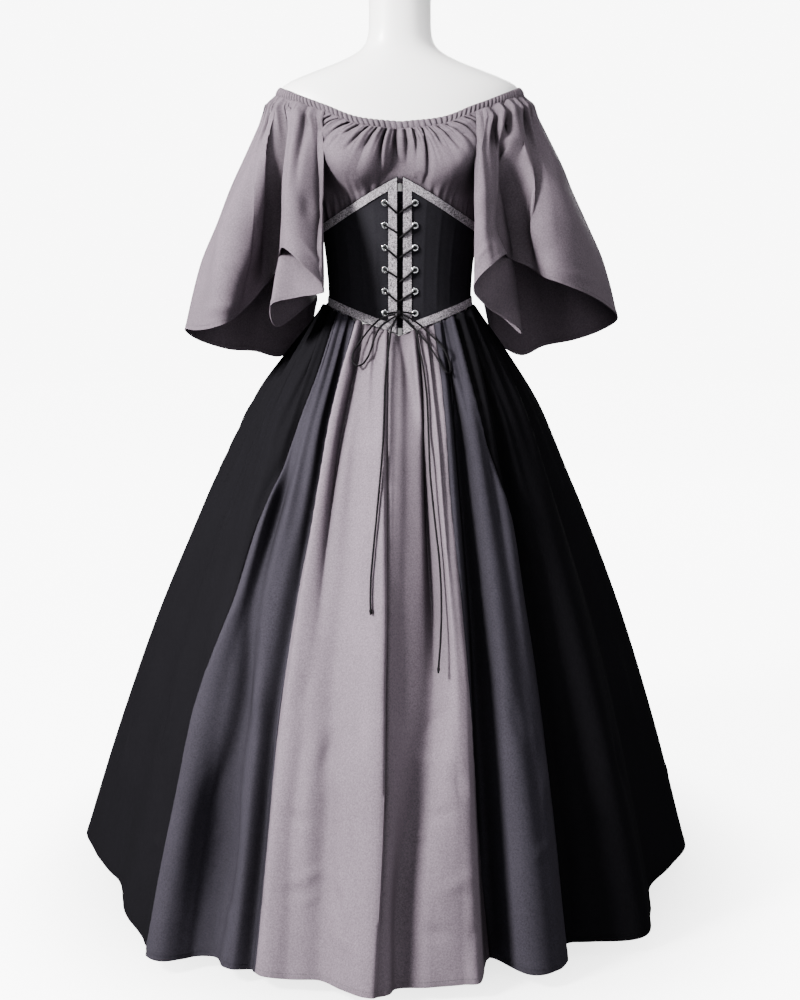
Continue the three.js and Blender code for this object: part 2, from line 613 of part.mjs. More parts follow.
for (const { name, from, to, cloth } of SKIRT_PANELS) {
  const places = [0];
  for (let k = Math.ceil((from + 0.2) * SKIRT_STEPS); k / SKIRT_STEPS < to - 0.2; k += 1) {
    places.push((k / SKIRT_STEPS - from) / (to - from));
  }
  places.push(1);
  const columns = places.map((u) => 1 - u).reverse();
  const surface = (u, v) => skirtPoint(mix(to - foldGap(v), from + foldGap(v), u), v ** 1.25);
  addMesh(name, wall(surface, columns, SKIRT_ROWS, CLOTH, "joined"), cloth);
}

// Corset
const CORSET_SIDE_DEG = 92; // the side seam
const TRIM_BAND = TRIM_INSET + TRIM_WIDTH;

// The angle at which a front point lies a given distance from the middle
function degreesAt(x, z, out) {
  const half = along(TORSO, "z", z, "half") + out;
  return (Math.asin(signedPower(clamp(x / half, -1, 1), 1 / SQUARENESS)) * 180) / Math.PI;
}

// A column keeps to an angle, or near the front to a distance from the middle
const atAngle = (deg) => () => deg;
const atDistance = (x) => (z) => degreesAt(x, z, CORSET_OUT);
// The front's columns: on both sides of the braid and through the eyelets, then even
const FRONT_COLUMNS = [
  ...[FRONT_GAP, FRONT_GAP + TRIM_BAND + 1, EYELET_X, EYELET_X + 8].map(atDistance),
  ...[23, 31, 39, 47, 55, 63, 70, 77, 84, CORSET_SIDE_DEG - 0.12].map(atAngle),
];
const BACK_COLUMNS = Array.from({ length: 13 }, (_, i) => {
  return atAngle(mix(CORSET_SIDE_DEG + 0.12, 360 - CORSET_SIDE_DEG - 0.12, i / 12));
});
const CORSET_ROWS = 7;

// The height at a row of the corset's wall. The first and last rows are as tall as the braid
function corsetHeight(deg, row) {
  const [top, bottom] = [corsetTop(deg), corsetBottom(deg)];
  if (row <= 1) return top - TRIM_BAND * row;
  if (row >= CORSET_ROWS - 1) return bottom + TRIM_BAND * (CORSET_ROWS - row);
  return mix(top - TRIM_BAND, bottom + TRIM_BAND, (row - 1) / (CORSET_ROWS - 2));
}

// A wall over some of the corset's columns and rows
function corsetWall(columns, firstRow, lastRow, out, thickness, lift = 0) {
  const rows = Math.max(1, Math.round(lastRow - firstRow));
  const last = columns.length - 1;
  return wall(
    (u, v) => {
      const place = (1 - u) * last;
      const i = Math.min(Math.floor(place), last - 1);
      const degAt = (z) => mix(columns[i](z), columns[i + 1](z), place - i);
      const row = mix(firstRow, lastRow, v);
      const deg = degAt(corsetHeight(degAt(1120), row));
      return bodyPoint(deg, corsetHeight(deg, row) + lift * (0.5 - v), out);
    },
    last,
    rows,
    thickness,
  );
}

const mirrored = (columns) => columns.map((column) => (z) => -column(z)).reverse();

function corsetFront(side) {
  const columns = side > 0 ? FRONT_COLUMNS : mirrored(FRONT_COLUMNS);
  const panel = toSolid(corsetWall(columns, 0, CORSET_ROWS, CORSET_OUT, CORSET_CLOTH));
  return fromSolid(
    EYELET_HEIGHTS.reduce((solid, z) => {
      const punch = new THREE.CylinderGeometry(EYELET_HOLE + 0.9, EYELET_HOLE + 0.9, 40, 10);
      punch.translate(side * EYELET_X, -105, z);
      return solid.subtract(toSolid(punch));
    }, panel),
  );
}

addMesh("corset_left", corsetFront(1), "corset");
addMesh("corset_right", corsetFront(-1), "corset");
addMesh("corset_back", corsetWall(BACK_COLUMNS, 0, CORSET_ROWS, CORSET_OUT, CORSET_CLOTH), "corset");

function modestyPanel() {
  const [wide, top, bottom] = [17, 1228, 1000];
  return wall(
    (u, v) => {
      const z = mix(top, bottom, v);
      return bodyPoint(degreesAt(mix(wide, -wide, u), z, 0), z, MODESTY_OUT);
    },
    2,
    7,
    MODESTY_CLOTH,
  );
}

addMesh("corset_modesty_panel", modestyPanel(), "corset");

// Braid: along the corset's top and bottom edges, and down both sides of the front opening
const braidColumns = [atDistance(FRONT_GAP + TRIM_INSET), ...FRONT_COLUMNS.slice(1)];
const inset = TRIM_INSET / TRIM_BAND;
for (const [place, columns] of [["left", braidColumns], ["right", mirrored(braidColumns)], ["back", BACK_COLUMNS]]) {
  addMesh(`trim_top_${place}`, corsetWall(columns, inset, 1, TRIM_OUT, TRIM_WALL), "braid");
  const bottom = corsetWall(columns, CORSET_ROWS - 1, CORSET_ROWS - inset, TRIM_OUT, TRIM_WALL);
  addMesh(`trim_bottom_${place}`, bottom, "braid");
}
const braidWidth = [FRONT_GAP + TRIM_INSET, FRONT_GAP + TRIM_BAND].map(atDistance);
for (const [place, columns] of [["left", braidWidth], ["right", mirrored(braidWidth)]]) {
  addMesh(`trim_front_${place}`, corsetWall(columns, 1, CORSET_ROWS - 1, TRIM_OUT, TRIM_WALL, -2 * SEAM_GAP), "braid");
}

// Eyelets: a rolled lip on the corset's face with a short barrel through its hole
// A point on the corset's front by its distance from the middle
const frontPoint = (x, out, z) => bodyPoint(degreesAt(x, z, out), z, out);

function eyelet(side, z) {
  const face = CORSET_CLOTH / 2 + 0.8;
  const barrel = EYELET_HOLE + 0.5;
  const profile = [
    [EYELET_HOLE, -CORSET_CLOTH / 2],
    [barrel, -CORSET_CLOTH / 2],
    [barrel, face],
    [EYELET_OUTER, face],
    [mix(EYELET_HOLE, EYELET_OUTER, 0.45), face + 1.1],
    [EYELET_HOLE, face + 0.2],
  ].map(([radius, height]) => new THREE.Vector2(radius, height));
  const geometry = new THREE.LatheGeometry([...profile, profile[0]], 9);
  const x = side * EYELET_X;
  const centre = frontPoint(x, CORSET_OUT, z);
  const sideways = frontPoint(x + 4, CORSET_OUT, z).sub(frontPoint(x - 4, CORSET_OUT, z));
  const down = frontPoint(x, CORSET_OUT, z - 5).sub(frontPoint(x, CORSET_OUT, z + 5));
  const normal = down.cross(sideways).normalize();
  geometry.applyQuaternion(new THREE.Quaternion().setFromUnitVectors(new THREE.Vector3(0, 1, 0), normal));
  geometry.translate(centre.x, centre.y, centre.z);
  return geometry;
}

EYELET_HEIGHTS.forEach((z, i) => {
  addMesh(`eyelet_left_${i + 1}`, eyelet(1, z), "eyelet");
  addMesh(`eyelet_right_${i + 1}`, eyelet(-1, z), "eyelet");
});

// A round cord through a list of points, with a swelling at its far end where it is knotted
function cord(points, diameter, knotRadius = 0) {
  const sides = LACE_SIDES;
  const positions = [];
  const index = [];
  const last = points.length - 1;
  let across = new THREE.Vector3(1, 0, 0);
  points.forEach((point, i) => {
    const ahead = points[Math.min(i + 1, last)].clone().sub(point).normalize();
    const behind = point.clone().sub(points[Math.max(i - 1, 0)]).normalize();
    const tangent = ahead.add(behind).normalize();
    across = across.clone().addScaledVector(tangent, -across.dot(tangent)).normalize();
    const up = tangent.clone().cross(across);
    const knotted = knotRadius && i > 0 && i === last - 1;
    const radius = knotted ? knotRadius : diameter / 2;
    for (let k = 0; k < sides; k += 1) {
      const angle = (2 * Math.PI * k) / sides;
      const rim = point
        .clone()
        .addScaledVector(across, radius * Math.cos(angle))
        .addScaledVector(up, radius * Math.sin(angle));
      positions.push(rim.x, rim.y, rim.z);
    }
  });
  positions.push(...points[0].toArray(), ...points[last].toArray());
  const [start, end] = [points.length * sides, points.length * sides + 1];
  for (let k = 0; k < sides; k += 1) {
    const next = (k + 1) % sides;
    index.push(start, next, k, end, last * sides + k, last * sides + next);
    for (let i = 0; i < last; i += 1) {
      const [a, b] = [i * sides + k, i * sides + next];
      index.push(a, b, b + sides, a, b + sides, a + sides);
    }
  }
  return meshOf(positions, index);
}

// The lacing: each lace comes out of an eyelet, runs down to the gap, passes behind the other side and comes out
// of the next eyelet there. Distances are from the middle, and from the form's surface
const CROSSING = [
  { x: 24, out: 10.9, fall: 0.02 },
  { x: 9, out: 11, fall: 0.32 },
  { x: 4.5, out: 10.3, fall: 0.4 },
  { x: 1.5, out: 8, fall: 0.46 },
  { x: -1.2, out: 4.2, fall: 0.53 },
  { x: -4.8, out: 2.95, fall: 0.6 },
  { x: -23.4, out: 2.95, fall: 0.98 },
  { x: -25.9, out: 4.7, fall: 1 },
  { x: -25.5, out: 8, fall: 1 },
];

function lacing(side) {
  const [first] = EYELET_HEIGHTS;
  const points = [[0.2, 2.95], [12, 2.95], [23.4, 2.95], [25.9, 4.7], [25.5, 8]].map(([x, out]) => {
    return frontPoint(side * x, out, first);
  });
  EYELET_HEIGHTS.slice(1).forEach((z, i) => {
    const from = EYELET_HEIGHTS[i];
    const over = i % 2 ? -side : side;
    for (const step of CROSSING) {
      const shift = over * CROSSING_SHIFT * clamp(2 - Math.abs(step.fall - 0.5) * 5, 0, 1) * (i % 2 ? -1 : 1);
      points.push(frontPoint(over * step.x, step.out, mix(from, z, step.fall) + shift));
    }
  });
  const knotSide = -side;
  const low = EYELET_HEIGHTS[EYELET_HEIGHTS.length - 1];
  for (const [x, out, z] of [[24.2, 10.7, low - 0.5], [17, 11.8, low + 1]]) {
    points.push(frontPoint(knotSide * x, out, z));
  }
  points.push(new THREE.Vector3(KNOT.x + knotSide * (KNOT.wide + 0.6), KNOT.y, KNOT.z + 1.6));
  return cord(points, LACE_DIAMETER);
}

addMesh("lace_from_left", lacing(1), "lace");
addMesh("lace_from_right", lacing(-1), "lace");

// The bow
function bowKnot() {
  const geometry = new THREE.SphereGeometry(1, 10, 6);
  geometry.scale(KNOT.wide, KNOT.deep, KNOT.tall);
  geometry.translate(KNOT.x, KNOT.y, KNOT.z);
  return geometry;
}

const route = (rows) => rows.map((row) => new THREE.Vector3(...row));
addMesh("bow_knot", bowKnot(), "lace");
addMesh("bow_loop_left", cord(route(LOOP_LEFT), LACE_DIAMETER), "lace");
addMesh("bow_loop_right", cord(route(LOOP_RIGHT), LACE_DIAMETER), "lace");
addMesh("lace_end_left", cord(route(TAIL_LEFT), LACE_DIAMETER, END_KNOT_RADIUS), "lace");
addMesh("lace_end_right", cord(route(TAIL_RIGHT), LACE_DIAMETER, END_KNOT_RADIUS), "lace");

export default dress;
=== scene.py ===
"""Looks of a floor-length laced dress on a limbless dress form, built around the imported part.

Everything is in the part's frame: +Z up, the front of the dress facing -Y.
Left and right are the wearer's, so left is +X.
Surfaces are worked out in millimetres from the sizes of the part's source and made as meshes in metres.
An angle round the body is in degrees: 0 is the centre front, 90 the wearer's left side, 180 the centre back.
"""

import math

import bpy
import numpy as np
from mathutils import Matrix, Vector


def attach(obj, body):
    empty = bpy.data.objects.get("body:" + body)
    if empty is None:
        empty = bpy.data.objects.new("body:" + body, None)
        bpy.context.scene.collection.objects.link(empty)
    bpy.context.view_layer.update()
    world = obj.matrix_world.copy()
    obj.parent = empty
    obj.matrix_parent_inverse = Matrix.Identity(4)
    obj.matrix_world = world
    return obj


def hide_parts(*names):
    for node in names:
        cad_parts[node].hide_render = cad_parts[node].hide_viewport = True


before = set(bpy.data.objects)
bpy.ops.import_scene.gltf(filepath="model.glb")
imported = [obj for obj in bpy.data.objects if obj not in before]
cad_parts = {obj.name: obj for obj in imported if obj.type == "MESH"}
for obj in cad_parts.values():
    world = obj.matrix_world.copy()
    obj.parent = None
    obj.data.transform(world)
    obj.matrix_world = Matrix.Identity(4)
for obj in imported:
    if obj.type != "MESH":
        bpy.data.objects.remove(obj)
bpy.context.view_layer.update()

# Sizes of the garment in millimetres, as in the part's source
MM = 0.001
CLOTH = 1.4
CORSET_CLOTH = 2.4
MODESTY_CLOTH = 0.7
HEM_HEIGHT = 25
HEM_RADIUS = 540
HEM_SWAY = -26
BUST_PUSH, BUST_HEIGHT, BUST_REACH, BUST_ANGLE, BUST_SPREAD = 24, 1283, 46, 36, 21
SQUARENESS = 0.93
CASING_OUT = 2.9
BODICE_OUT = 4.3
BODICE_TUCK_OUT = 2.2
MODESTY_OUT = 0.95
CORSET_OUT = 6
SKIRT_OUT = 7.5
TRIM_OUT = 8.1
CORSET_TOP_SIDE, CORSET_TOP_RISE = 1173, 81
CORSET_BOTTOM_SIDE, CORSET_BOTTOM_DROP = 1034, 45
FRONT_GAP = 3.8
TUCK = 12
CASING_HEIGHT = 11
CASING_GAP = 1.3
CASING_WALL = 2
ARMHOLE_DEG = 37
UNDERARM = 1226
GATHER = 2.2
FRONT_GATHERS = 18
# Rows of the bodice behind the casing: above its edge, out from the form
TUCKED_ROWS = ((3.5, 1.4), (1.6, 2.4))
SKIRT_ROWS = 150
SLEEVE_GATHERS = 15
ARMHOLE_LAP = 3.4
SLEEVE_DEG = ARMHOLE_DEG - 1.4
WAIST_GAP = 1.1
CORSET_SIDE_DEG, SIDE_GAP_DEG = 92, 0.12
TRIM_WIDTH, TRIM_WALL, TRIM_INSET = 14, 1.2, 1.4
TRIM_BAND = TRIM_INSET + TRIM_WIDTH
EYELET_X = 25.4
EYELET_HEIGHTS = (1209, 1172, 1135, 1098, 1062, 1025)
EYELET_OUTER = 6.1
EYELET_HOLE = 3.1
END_KNOT_RADIUS = 2.5
CROSSING_SHIFT = 2

# The form: height, half width, depth to the front, depth to the back
TORSO = (
    (806, 112, 76, 84), (816, 143, 97, 107), (860, 160, 107, 119), (920, 151, 105, 112),
    (980, 131, 97, 97), (1035, 119, 91, 84), (1100, 121, 92, 88), (1165, 130, 98, 96),
    (1225, 143, 105, 103), (1285, 162, 109, 107), (1335, 190, 100, 105), (1375, 207, 86, 98),
    (1398, 207, 77, 90), (1412, 193, 71, 83), (1427, 158, 65, 76), (1449, 100, 56, 66),
    (1466, 69, 50, 58), (1486, 56, 48, 53), (1530, 53, 49, 51), (1572, 54, 51, 52),
)
# The elastic neckline's lower edge: angle, height
NECKLINE = (
    (0, 1328), (20, 1337), (36, 1358), (60, 1381), (90, 1391), (120, 1386), (150, 1370), (180, 1362),
)
# The skirt's radius as a share of the way from waist to hem: drop, spread
SKIRT_PROFILE = (
    (0, 0), (0.08, 0.143), (0.164, 0.276), (0.237, 0.36), (0.382, 0.512), (0.531, 0.656),
    (0.682, 0.783), (0.836, 0.893), (1, 1),
)
# Fold lines of the skirt from the right side round the front to the left:
# waist angle, hem angle, waist push, hem push
FRONT_FOLDS = (
    (-113, -111, -4, 6), (-106, -97, 4, 40), (-100, -86, -4, 3), (-94, -76, 4, -26),
    (-89, -68, -4, -38), (-85, -56, 4, -12), (-81, -47, -3, 8), (-76, -39, 5, 40), (-68, -35, -5, 14),
    (-61, -31.5, 4, -17), (-54, -27.5, -5, -4), (-48, -23.2, 3, -8), (-42, -20, -5, -3),
    (-32, -16, 6, -2), (-21, -11, -4, -14), (-11, -6.3, 2, 9), (-3, -1.2, 4, 27), (5, 3.4, -3, 11),
    (13, 8.5, 3, 5), (21, 13, -5, 4), (28, 16.4, 5, 1), (33, 20.8, -7, -62), (39, 24.6, 4, 9),
    (45, 29, -5, 17), (51, 32, 5, 2), (57, 36.3, -5, -43), (64, 41, 4, -20), (71, 48.5, -4, 28),
    (78, 57, 4, -2), (85, 68, -4, -34), (92, 79, 4, -8), (98, 90, -4, 24), (105, 101, 4, -12),
)
# Ridges of the back, as a share of the way round from the last row above to the first: place, hem push
BACK_PLEATS = (
    (0.06, 10), (0.155, 14), (0.25, 6), (0.345, 15), (0.44, 8), (0.54, 13), (0.64, 17), (0.735, 7),
    (0.83, 14), (0.93, 9),
)
BACK_WAIST_PUSH, BACK_HOLLOW = 4, -15
# The sleeves' hems: place on the top edge, distance out from the body's middle, y, z, fullness in x and in y
SLEEVE_RIGHT_HEM = (
    (0.02, 122, -168, 1068, 0, -14), (0.1, 163, -178, 1112, 3, -16), (0.19, 192, -150, 1136, 8, -16),
    (0.25, 207, -96, 1106, 6, -10), (0.3, 236, -62, 1066, 12, -8), (0.35, 272, -88, 1028, 16, -8),
    (0.41, 306, -106, 1004, 19, -9), (0.48, 349, -62, 994, 22, -4), (0.55, 384, 8, 991, 24, 0),
    (0.64, 368, 66, 968, 20, 5), (0.74, 318, 92, 949, 14, 10), (0.85, 272, 131, 942, 8, 16),
    (0.97, 222, 138, 932, 4, 15), (1.08, 174, 138, 968, 3, 12), (1.25, 154, 90, 1032, 3, 6),
    (1.42, 151, 28, 1046, 3, 0), (1.58, 160, -46, 1036, 5, -2), (1.68, 209, -101, 1002, 4, -4),
    (1.77, 217, -132, 1041, 3, -6), (1.87, 172, -139, 1054, 1, -9),
)
SLEEVE_LEFT_HEM = (
    (0.02, 122, -166, 1069, 0, -14), (0.1, 146, -179, 1104, 3, -16), (0.18, 176, -156, 1125, 8, -16),
    (0.24, 197, -104, 1117, 6, -10), (0.3, 223, -90, 1101, 12, -8), (0.37, 262, -118, 1078, 16, -9),
    (0.44, 313, -104, 1058, 20, -8), (0.5, 356, -54, 1036, 23, -4), (0.56, 385, 8, 1010, 25, 0),
    (0.65, 368, 66, 986, 20, 5), (0.74, 322, 94, 966, 14, 10), (0.85, 270, 131, 952, 8, 16),
    (0.97, 224, 138, 934, 4, 15), (1.08, 176, 138, 966, 3, 12), (1.25, 154, 90, 1030, 3, 6),
    (1.42, 151, 28, 1044, 3, 0), (1.58, 160, -40, 1032, 5, -2), (1.68, 206, -66, 990, 4, -3),
    (1.77, 197, -108, 1004, 3, -6), (1.87, 148, -138, 1036, 1, -9),
)


def mix(a, b, t):
    return a + (b - a) * t


def bell(x):
    return np.exp(-(x * x))


def smooth(x):
    t = np.clip(x, 0, 1)
    return t * t * (3 - 2 * t)


def signed_power(x, p):
    return np.sign(x) * np.abs(x) ** p


def curve(table, at, column):
    """A table's column at a place between its rows, on a smooth curve through them."""
    rows = np.asarray(table, float)
    keys, values = rows[:, 0], rows[:, column]
    last = len(keys) - 1
    at = np.asarray(at, float)
    i = np.clip(np.searchsorted(keys, at) - 1, 0, last - 1)
    width = keys[i + 1] - keys[i]
    t = np.clip((at - keys[i]) / width, 0, 1)
    back, ahead = np.maximum(i - 1, 0), np.minimum(i + 2, last)
    before = (values[i + 1] - values[back]) / (keys[i + 1] - keys[back]) * width
    after = (values[ahead] - values[i]) / (keys[ahead] - keys[i]) * width
    square, cube = t * t, t * t * t
    return (
        (2 * cube - 3 * square + 1) * values[i]
        + (cube - 2 * square + t) * before
        + (3 * square - 2 * cube) * values[i + 1]
        + (cube - square) * after
    )


def distance_along(path):
    """The way travelled along a path, at each of its points."""
    return np.concatenate([[0], np.cumsum(np.linalg.norm(np.diff(path, axis=0), axis=1))])


def around(values, at, turn=0.0):
    """A smooth closed curve through values, at a place counted in rows. turn is what one round adds."""
    values = np.asarray(values, float)
    count = len(values)
    i = np.floor(at).astype(int)
    t = at - i
    a, b, c, d = (values[(i + k) % count] + turn * ((i + k) // count) for k in (-1, 0, 1, 2))
    return 0.5 * (2 * b + (c - a) * t + (2 * a - 5 * b + 4 * c - d) * t**2 + (3 * b - a - 3 * c + d) * t**3)


def folded(deg):
    return np.abs((deg + 540) % 360 - 180)


def body_point(deg, z, out=0.0):
    """A point beside the form's surface, out millimetres away from it."""
    deg, z, out = np.broadcast_arrays(*(np.asarray(a, float) for a in (deg, z, out)))
    angle = np.radians(deg)
    sine = signed_power(np.sin(angle), SQUARENESS)
    cosine = signed_power(np.cos(angle), SQUARENESS)
    depth = np.where(cosine > 0, curve(TORSO, z, 2), curve(TORSO, z, 3))
    bust = BUST_PUSH * bell((folded(deg) - BUST_ANGLE) / BUST_SPREAD) * bell((z - BUST_HEIGHT) / BUST_REACH)
    return np.stack([(curve(TORSO, z, 1) + out) * sine, -(depth + out) * cosine - bust, z], -1)


def neckline_height(deg):
    return curve(NECKLINE, folded(deg), 1)


def frontness(deg):
    angle = np.radians(deg)
    return np.where(np.cos(angle) > 0, 1 - np.abs(np.sin(angle)), 0)


def corset_top(deg):
    return CORSET_TOP_SIDE + CORSET_TOP_RISE * frontness(deg) ** 1.1


def corset_bottom(deg):
    return CORSET_BOTTOM_SIDE - CORSET_BOTTOM_DROP * frontness(deg)


def armhole_top(back):
    return neckline_height(180 - ARMHOLE_DEG if back else ARMHOLE_DEG)


def bodice_edge(v, back):
    """The side edge of a bodice half: down the armhole to the underarm, then down the side seam."""
    split = 2 / 3
    t = np.clip(v / split, 0, 1)
    deg = np.where(v < split, mix(ARMHOLE_DEG, 90, t) - 0.3, 89.8)
    below = mix(UNDERARM, corset_top(90.0) - TUCK, (v - split) / (1 - split))
    return deg, np.where(v < split, mix(armhole_top(back), UNDERARM, t**1.15), below)


def bodice_base(back, u, v):
    """Angle, height, rim share and plain distance out of the bodice at u across and v down."""
    across = 2 * u - 1
    edge_deg, edge_z = bodice_edge(v, back)

    def facing(deg):
        return 180 - deg if back else deg

    deg = facing(edge_deg * across)
    rim = np.abs(across) ** 2.4
    neck, tuck = neckline_height(facing(edge_deg)), corset_top(facing(edge_deg)) - TUCK
    fall = mix(v, (neck - edge_z) / (neck - tuck), rim)
    z = mix(neckline_height(deg), corset_top(deg) - TUCK, fall)
    swell = 7 * np.sin(math.pi * np.clip(v * 1.22, 0, 1)) ** 1.2 * (1 - rim)
    return deg, z, rim, mix(BODICE_OUT, BODICE_TUCK_OUT, v**3) + swell


def sleeve_top(t):
    """The sleeve's top edge on the wearer's left: 0 to 1 the neckline, front to back, 1 to 2 the armhole."""
    t = np.asarray(t, float)
    neck_deg = mix(SLEEVE_DEG, 180 - SLEEVE_DEG, np.clip(t, 0, 1))
    lap = ARMHOLE_LAP * (1 - np.sin(math.pi * np.clip(t, 0, 1))) ** 4
    neck = body_point(neck_deg, neckline_height(neck_deg), BODICE_OUT + lap)
    back = t < 1.5
    drop = np.clip(np.where(back, (t - 1) * 2, (2 - t) * 2), 0, 1)
    turn = mix(SLEEVE_DEG, 90, drop)
    z = mix(np.where(back, armhole_top(True), armhole_top(False)), UNDERARM, drop**1.15)
    arm = body_point(np.where(back, 180 - turn, turn), z, BODICE_OUT + ARMHOLE_LAP)
    return np.where((t <= 1)[..., None], neck, arm)


def hem_row(hem, top):
    """The place in the hem table, counted in rows, that belongs to a place on the top edge."""
    tops = [row[0] for row in hem]
    at = np.where(top < tops[0], top + 2, top)
    return np.interp(at, [*tops, tops[0] + 2], range(len(tops) + 1))


def sleeve_base(hem, top, v):
    """A point of the sleeve on the wearer's left, and the direction in which its gathers stand out."""
    start = sleeve_top(top)
    row = hem_row(hem, top)
    columns = np.asarray(hem, float).T
    end = np.stack([around(columns[k], row) for k in (1, 2, 3)], -1)
    full = np.sin(math.pi * v**0.8)
    point = mix(start, end, v[..., None])
    point[..., 0] += around(columns[4], row) * full
    point[..., 1] += around(columns[5], row) * full
    angle = np.radians(mix(ARMHOLE_DEG, 180 - ARMHOLE_DEG, np.clip(top, 0, 1)))
    return point, np.stack([np.sin(angle), -np.cos(angle), 0 * angle], -1)


def skirt_folds():
    first, last = FRONT_FOLDS[0], FRONT_FOLDS[-1]
    rows = list(FRONT_FOLDS)
    before = 0
    for at, push in BACK_PLEATS:
        for share, waist_push, hem_push in (
            ((before + at) / 2, -BACK_WAIST_PUSH, BACK_HOLLOW),
            (at, BACK_WAIST_PUSH, push),
        ):
            angles = [mix(last[k], first[k] + 360, share) for k in (0, 1)]
            rows.append((*angles, waist_push, hem_push))
        before = at
    return np.array(rows, float).T


FOLDS = skirt_folds()


def skirt_base(fold, drop):
    """fold counts fold lines from the first row of the table; drop is 0 at the waist and 1 at the hem."""
    waist = around(FOLDS[0], fold, 360)
    hem = around(FOLDS[1], fold, 360)
    top = corset_bottom(waist) - WAIST_GAP
    start = body_point(waist, top, SKIRT_OUT + around(FOLDS[2], fold))
    radius = HEM_RADIUS + around(FOLDS[3], fold)
    spread = curve(SKIRT_PROFILE, drop, 1)
    end_x, end_y = HEM_SWAY + radius * np.sin(np.radians(hem)), -radius * np.cos(np.radians(hem))
    x, y = mix(start[..., 0], end_x, spread), mix(start[..., 1], end_y, spread)
    return np.stack([x, y, mix(top, HEM_HEIGHT, drop)], -1)


def degrees_at(x, z, out):
    """The angle at which a front point lies a given distance from the middle."""
    half = curve(TORSO, z, 1) + out
    return np.degrees(np.arcsin(signed_power(np.clip(x / half, -1, 1), 1 / SQUARENESS)))


def front_point(x, out, z):
    """A point on the corset's front by its distance from the middle."""
    return body_point(degrees_at(x, z, out), z, out)


# Mesh builders
def new_piece(name, points, faces, material, nodes=(), uv=None):
    """A smooth mesh from points in millimetres. uv gives one pair in metres for each point."""
    used, index = np.unique(np.concatenate([np.ravel(f) for f in faces]), return_inverse=True)
    points = np.asarray(points, float)[used] * MM
    mesh = bpy.data.meshes.new(name)
    polygons, start = [], 0
    for block in faces:
        block = np.asarray(block)
        polygons.append(index[start : start + block.size].reshape(block.shape))
        start += block.size
    loops = np.concatenate([p.ravel() for p in polygons])
    sizes = np.concatenate([np.full(len(p), p.shape[1]) for p in polygons])
    mesh.vertices.add(len(points))
    mesh.vertices.foreach_set("co", points.ravel())
    mesh.loops.add(len(loops))
    mesh.loops.foreach_set("vertex_index", loops.astype(np.int32))
    mesh.polygons.add(len(sizes))
    mesh.polygons.foreach_set("loop_start", (np.cumsum(sizes) - sizes).astype(np.int32))
    mesh.update(calc_edges=True)
    if uv is not None:
        layer = mesh.uv_layers.new(name=UV_NAME)
        layer.data.foreach_set("uv", np.asarray(uv, float)[used][loops].ravel())
    mesh.validate()
    mesh.shade_smooth()
    mesh.set_sharp_from_angle(angle=math.radians(SHARP_DEG))
    obj = bpy.data.objects.new(name, mesh)
    bpy.context.scene.collection.objects.link(obj)
    mesh.materials.append(material)
    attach(obj, "root")
    if nodes:
        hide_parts(*nodes)
    return obj


def normals_of(points, ring, centre=None):
    """Unit normals of a grid of points, rows by columns, that face away from the centre of each row."""
    if ring:
        across = np.roll(points, -1, 1) - np.roll(points, 1, 1)
    else:
        across = np.gradient(points, axis=1)
    normals = np.cross(across, np.gradient(points, axis=0))
    normals /= np.linalg.norm(normals, axis=-1, keepdims=True) + 1e-12
    if centre is None:
        centre = points.mean(axis=1, keepdims=True)
    away = points - centre
    away[..., 2] = 0
    return normals if (normals * away).sum() > 0 else -normals


def raised(points, relief, ring=False, centre=None, spare=0):
    """The surface moved by its relief, and its normals. spare columns at both ends only steer the normals."""
    points = points + normals_of(points, ring, centre) * np.asarray(relief, float)[..., None]
    normals = normals_of(points, ring, centre)
    return (points[:, spare:-spare], normals[:, spare:-spare]) if spare else (points, normals)


def shell(
    name, points, thickness, material, nodes=(), ring=False, relief=0, keep=None, centre=None, spare=0
):
    """A closed wall. points is the middle surface, rows by columns by 3; relief moves it along normals."""
    points, normals = raised(points, relief, ring, centre, spare)
    half = np.broadcast_to(np.asarray(thickness, float) / 2, points.shape[:2])[..., None]
    rows, columns = points.shape[:2]
    spans = columns if ring else columns - 1
    kept = np.ones((rows - 1, spans), bool) if keep is None else keep
    j, i = np.nonzero(kept)
    following = (i + 1) % columns
    corners = [j * columns + i, j * columns + following, (j + 1) * columns + following, (j + 1) * columns + i]
    layer = rows * columns
    first = points[0, 1 % columns] - points[0, 0]
    down = points[1, 0] - points[0, 0]
    if np.dot(np.cross(first, down), normals[0, 0]) < 0:
        corners = corners[::-1]
    outer = np.stack(corners, 1)
    inner = outer[:, ::-1] + layer
    edges = np.concatenate([np.stack([outer[:, k], outer[:, (k + 1) % 4]], 1) for k in range(4)])
    code = edges[:, 0] * layer + edges[:, 1]
    free = edges[~np.isin(code, edges[:, 1] * layer + edges[:, 0])]
    rim = np.stack([free[:, 1], free[:, 0], free[:, 0] + layer, free[:, 1] + layer], 1)
    steps = np.linalg.norm(np.diff(points, axis=1, append=points[:, :1]), axis=-1)
    along_row = np.concatenate([np.zeros((rows, 1)), np.cumsum(steps[:, :-1], 1)], 1)
    along_row -= along_row[:, columns // 2][:, None]
    down_steps = np.linalg.norm(np.diff(points, axis=0), axis=-1).mean(1)
    down_column = np.concatenate([[0], np.cumsum(down_steps)])[:, None]
    uv = np.stack([along_row, np.broadcast_to(down_column, along_row.shape)], -1).reshape(-1, 2) * MM
    two_faces = (points + normals * half, points - normals * half)
    both = np.concatenate([face.reshape(-1, 3) for face in two_faces])
    return new_piece(name, both, [outer, inner, rim], material, nodes, np.concatenate([uv, uv]))


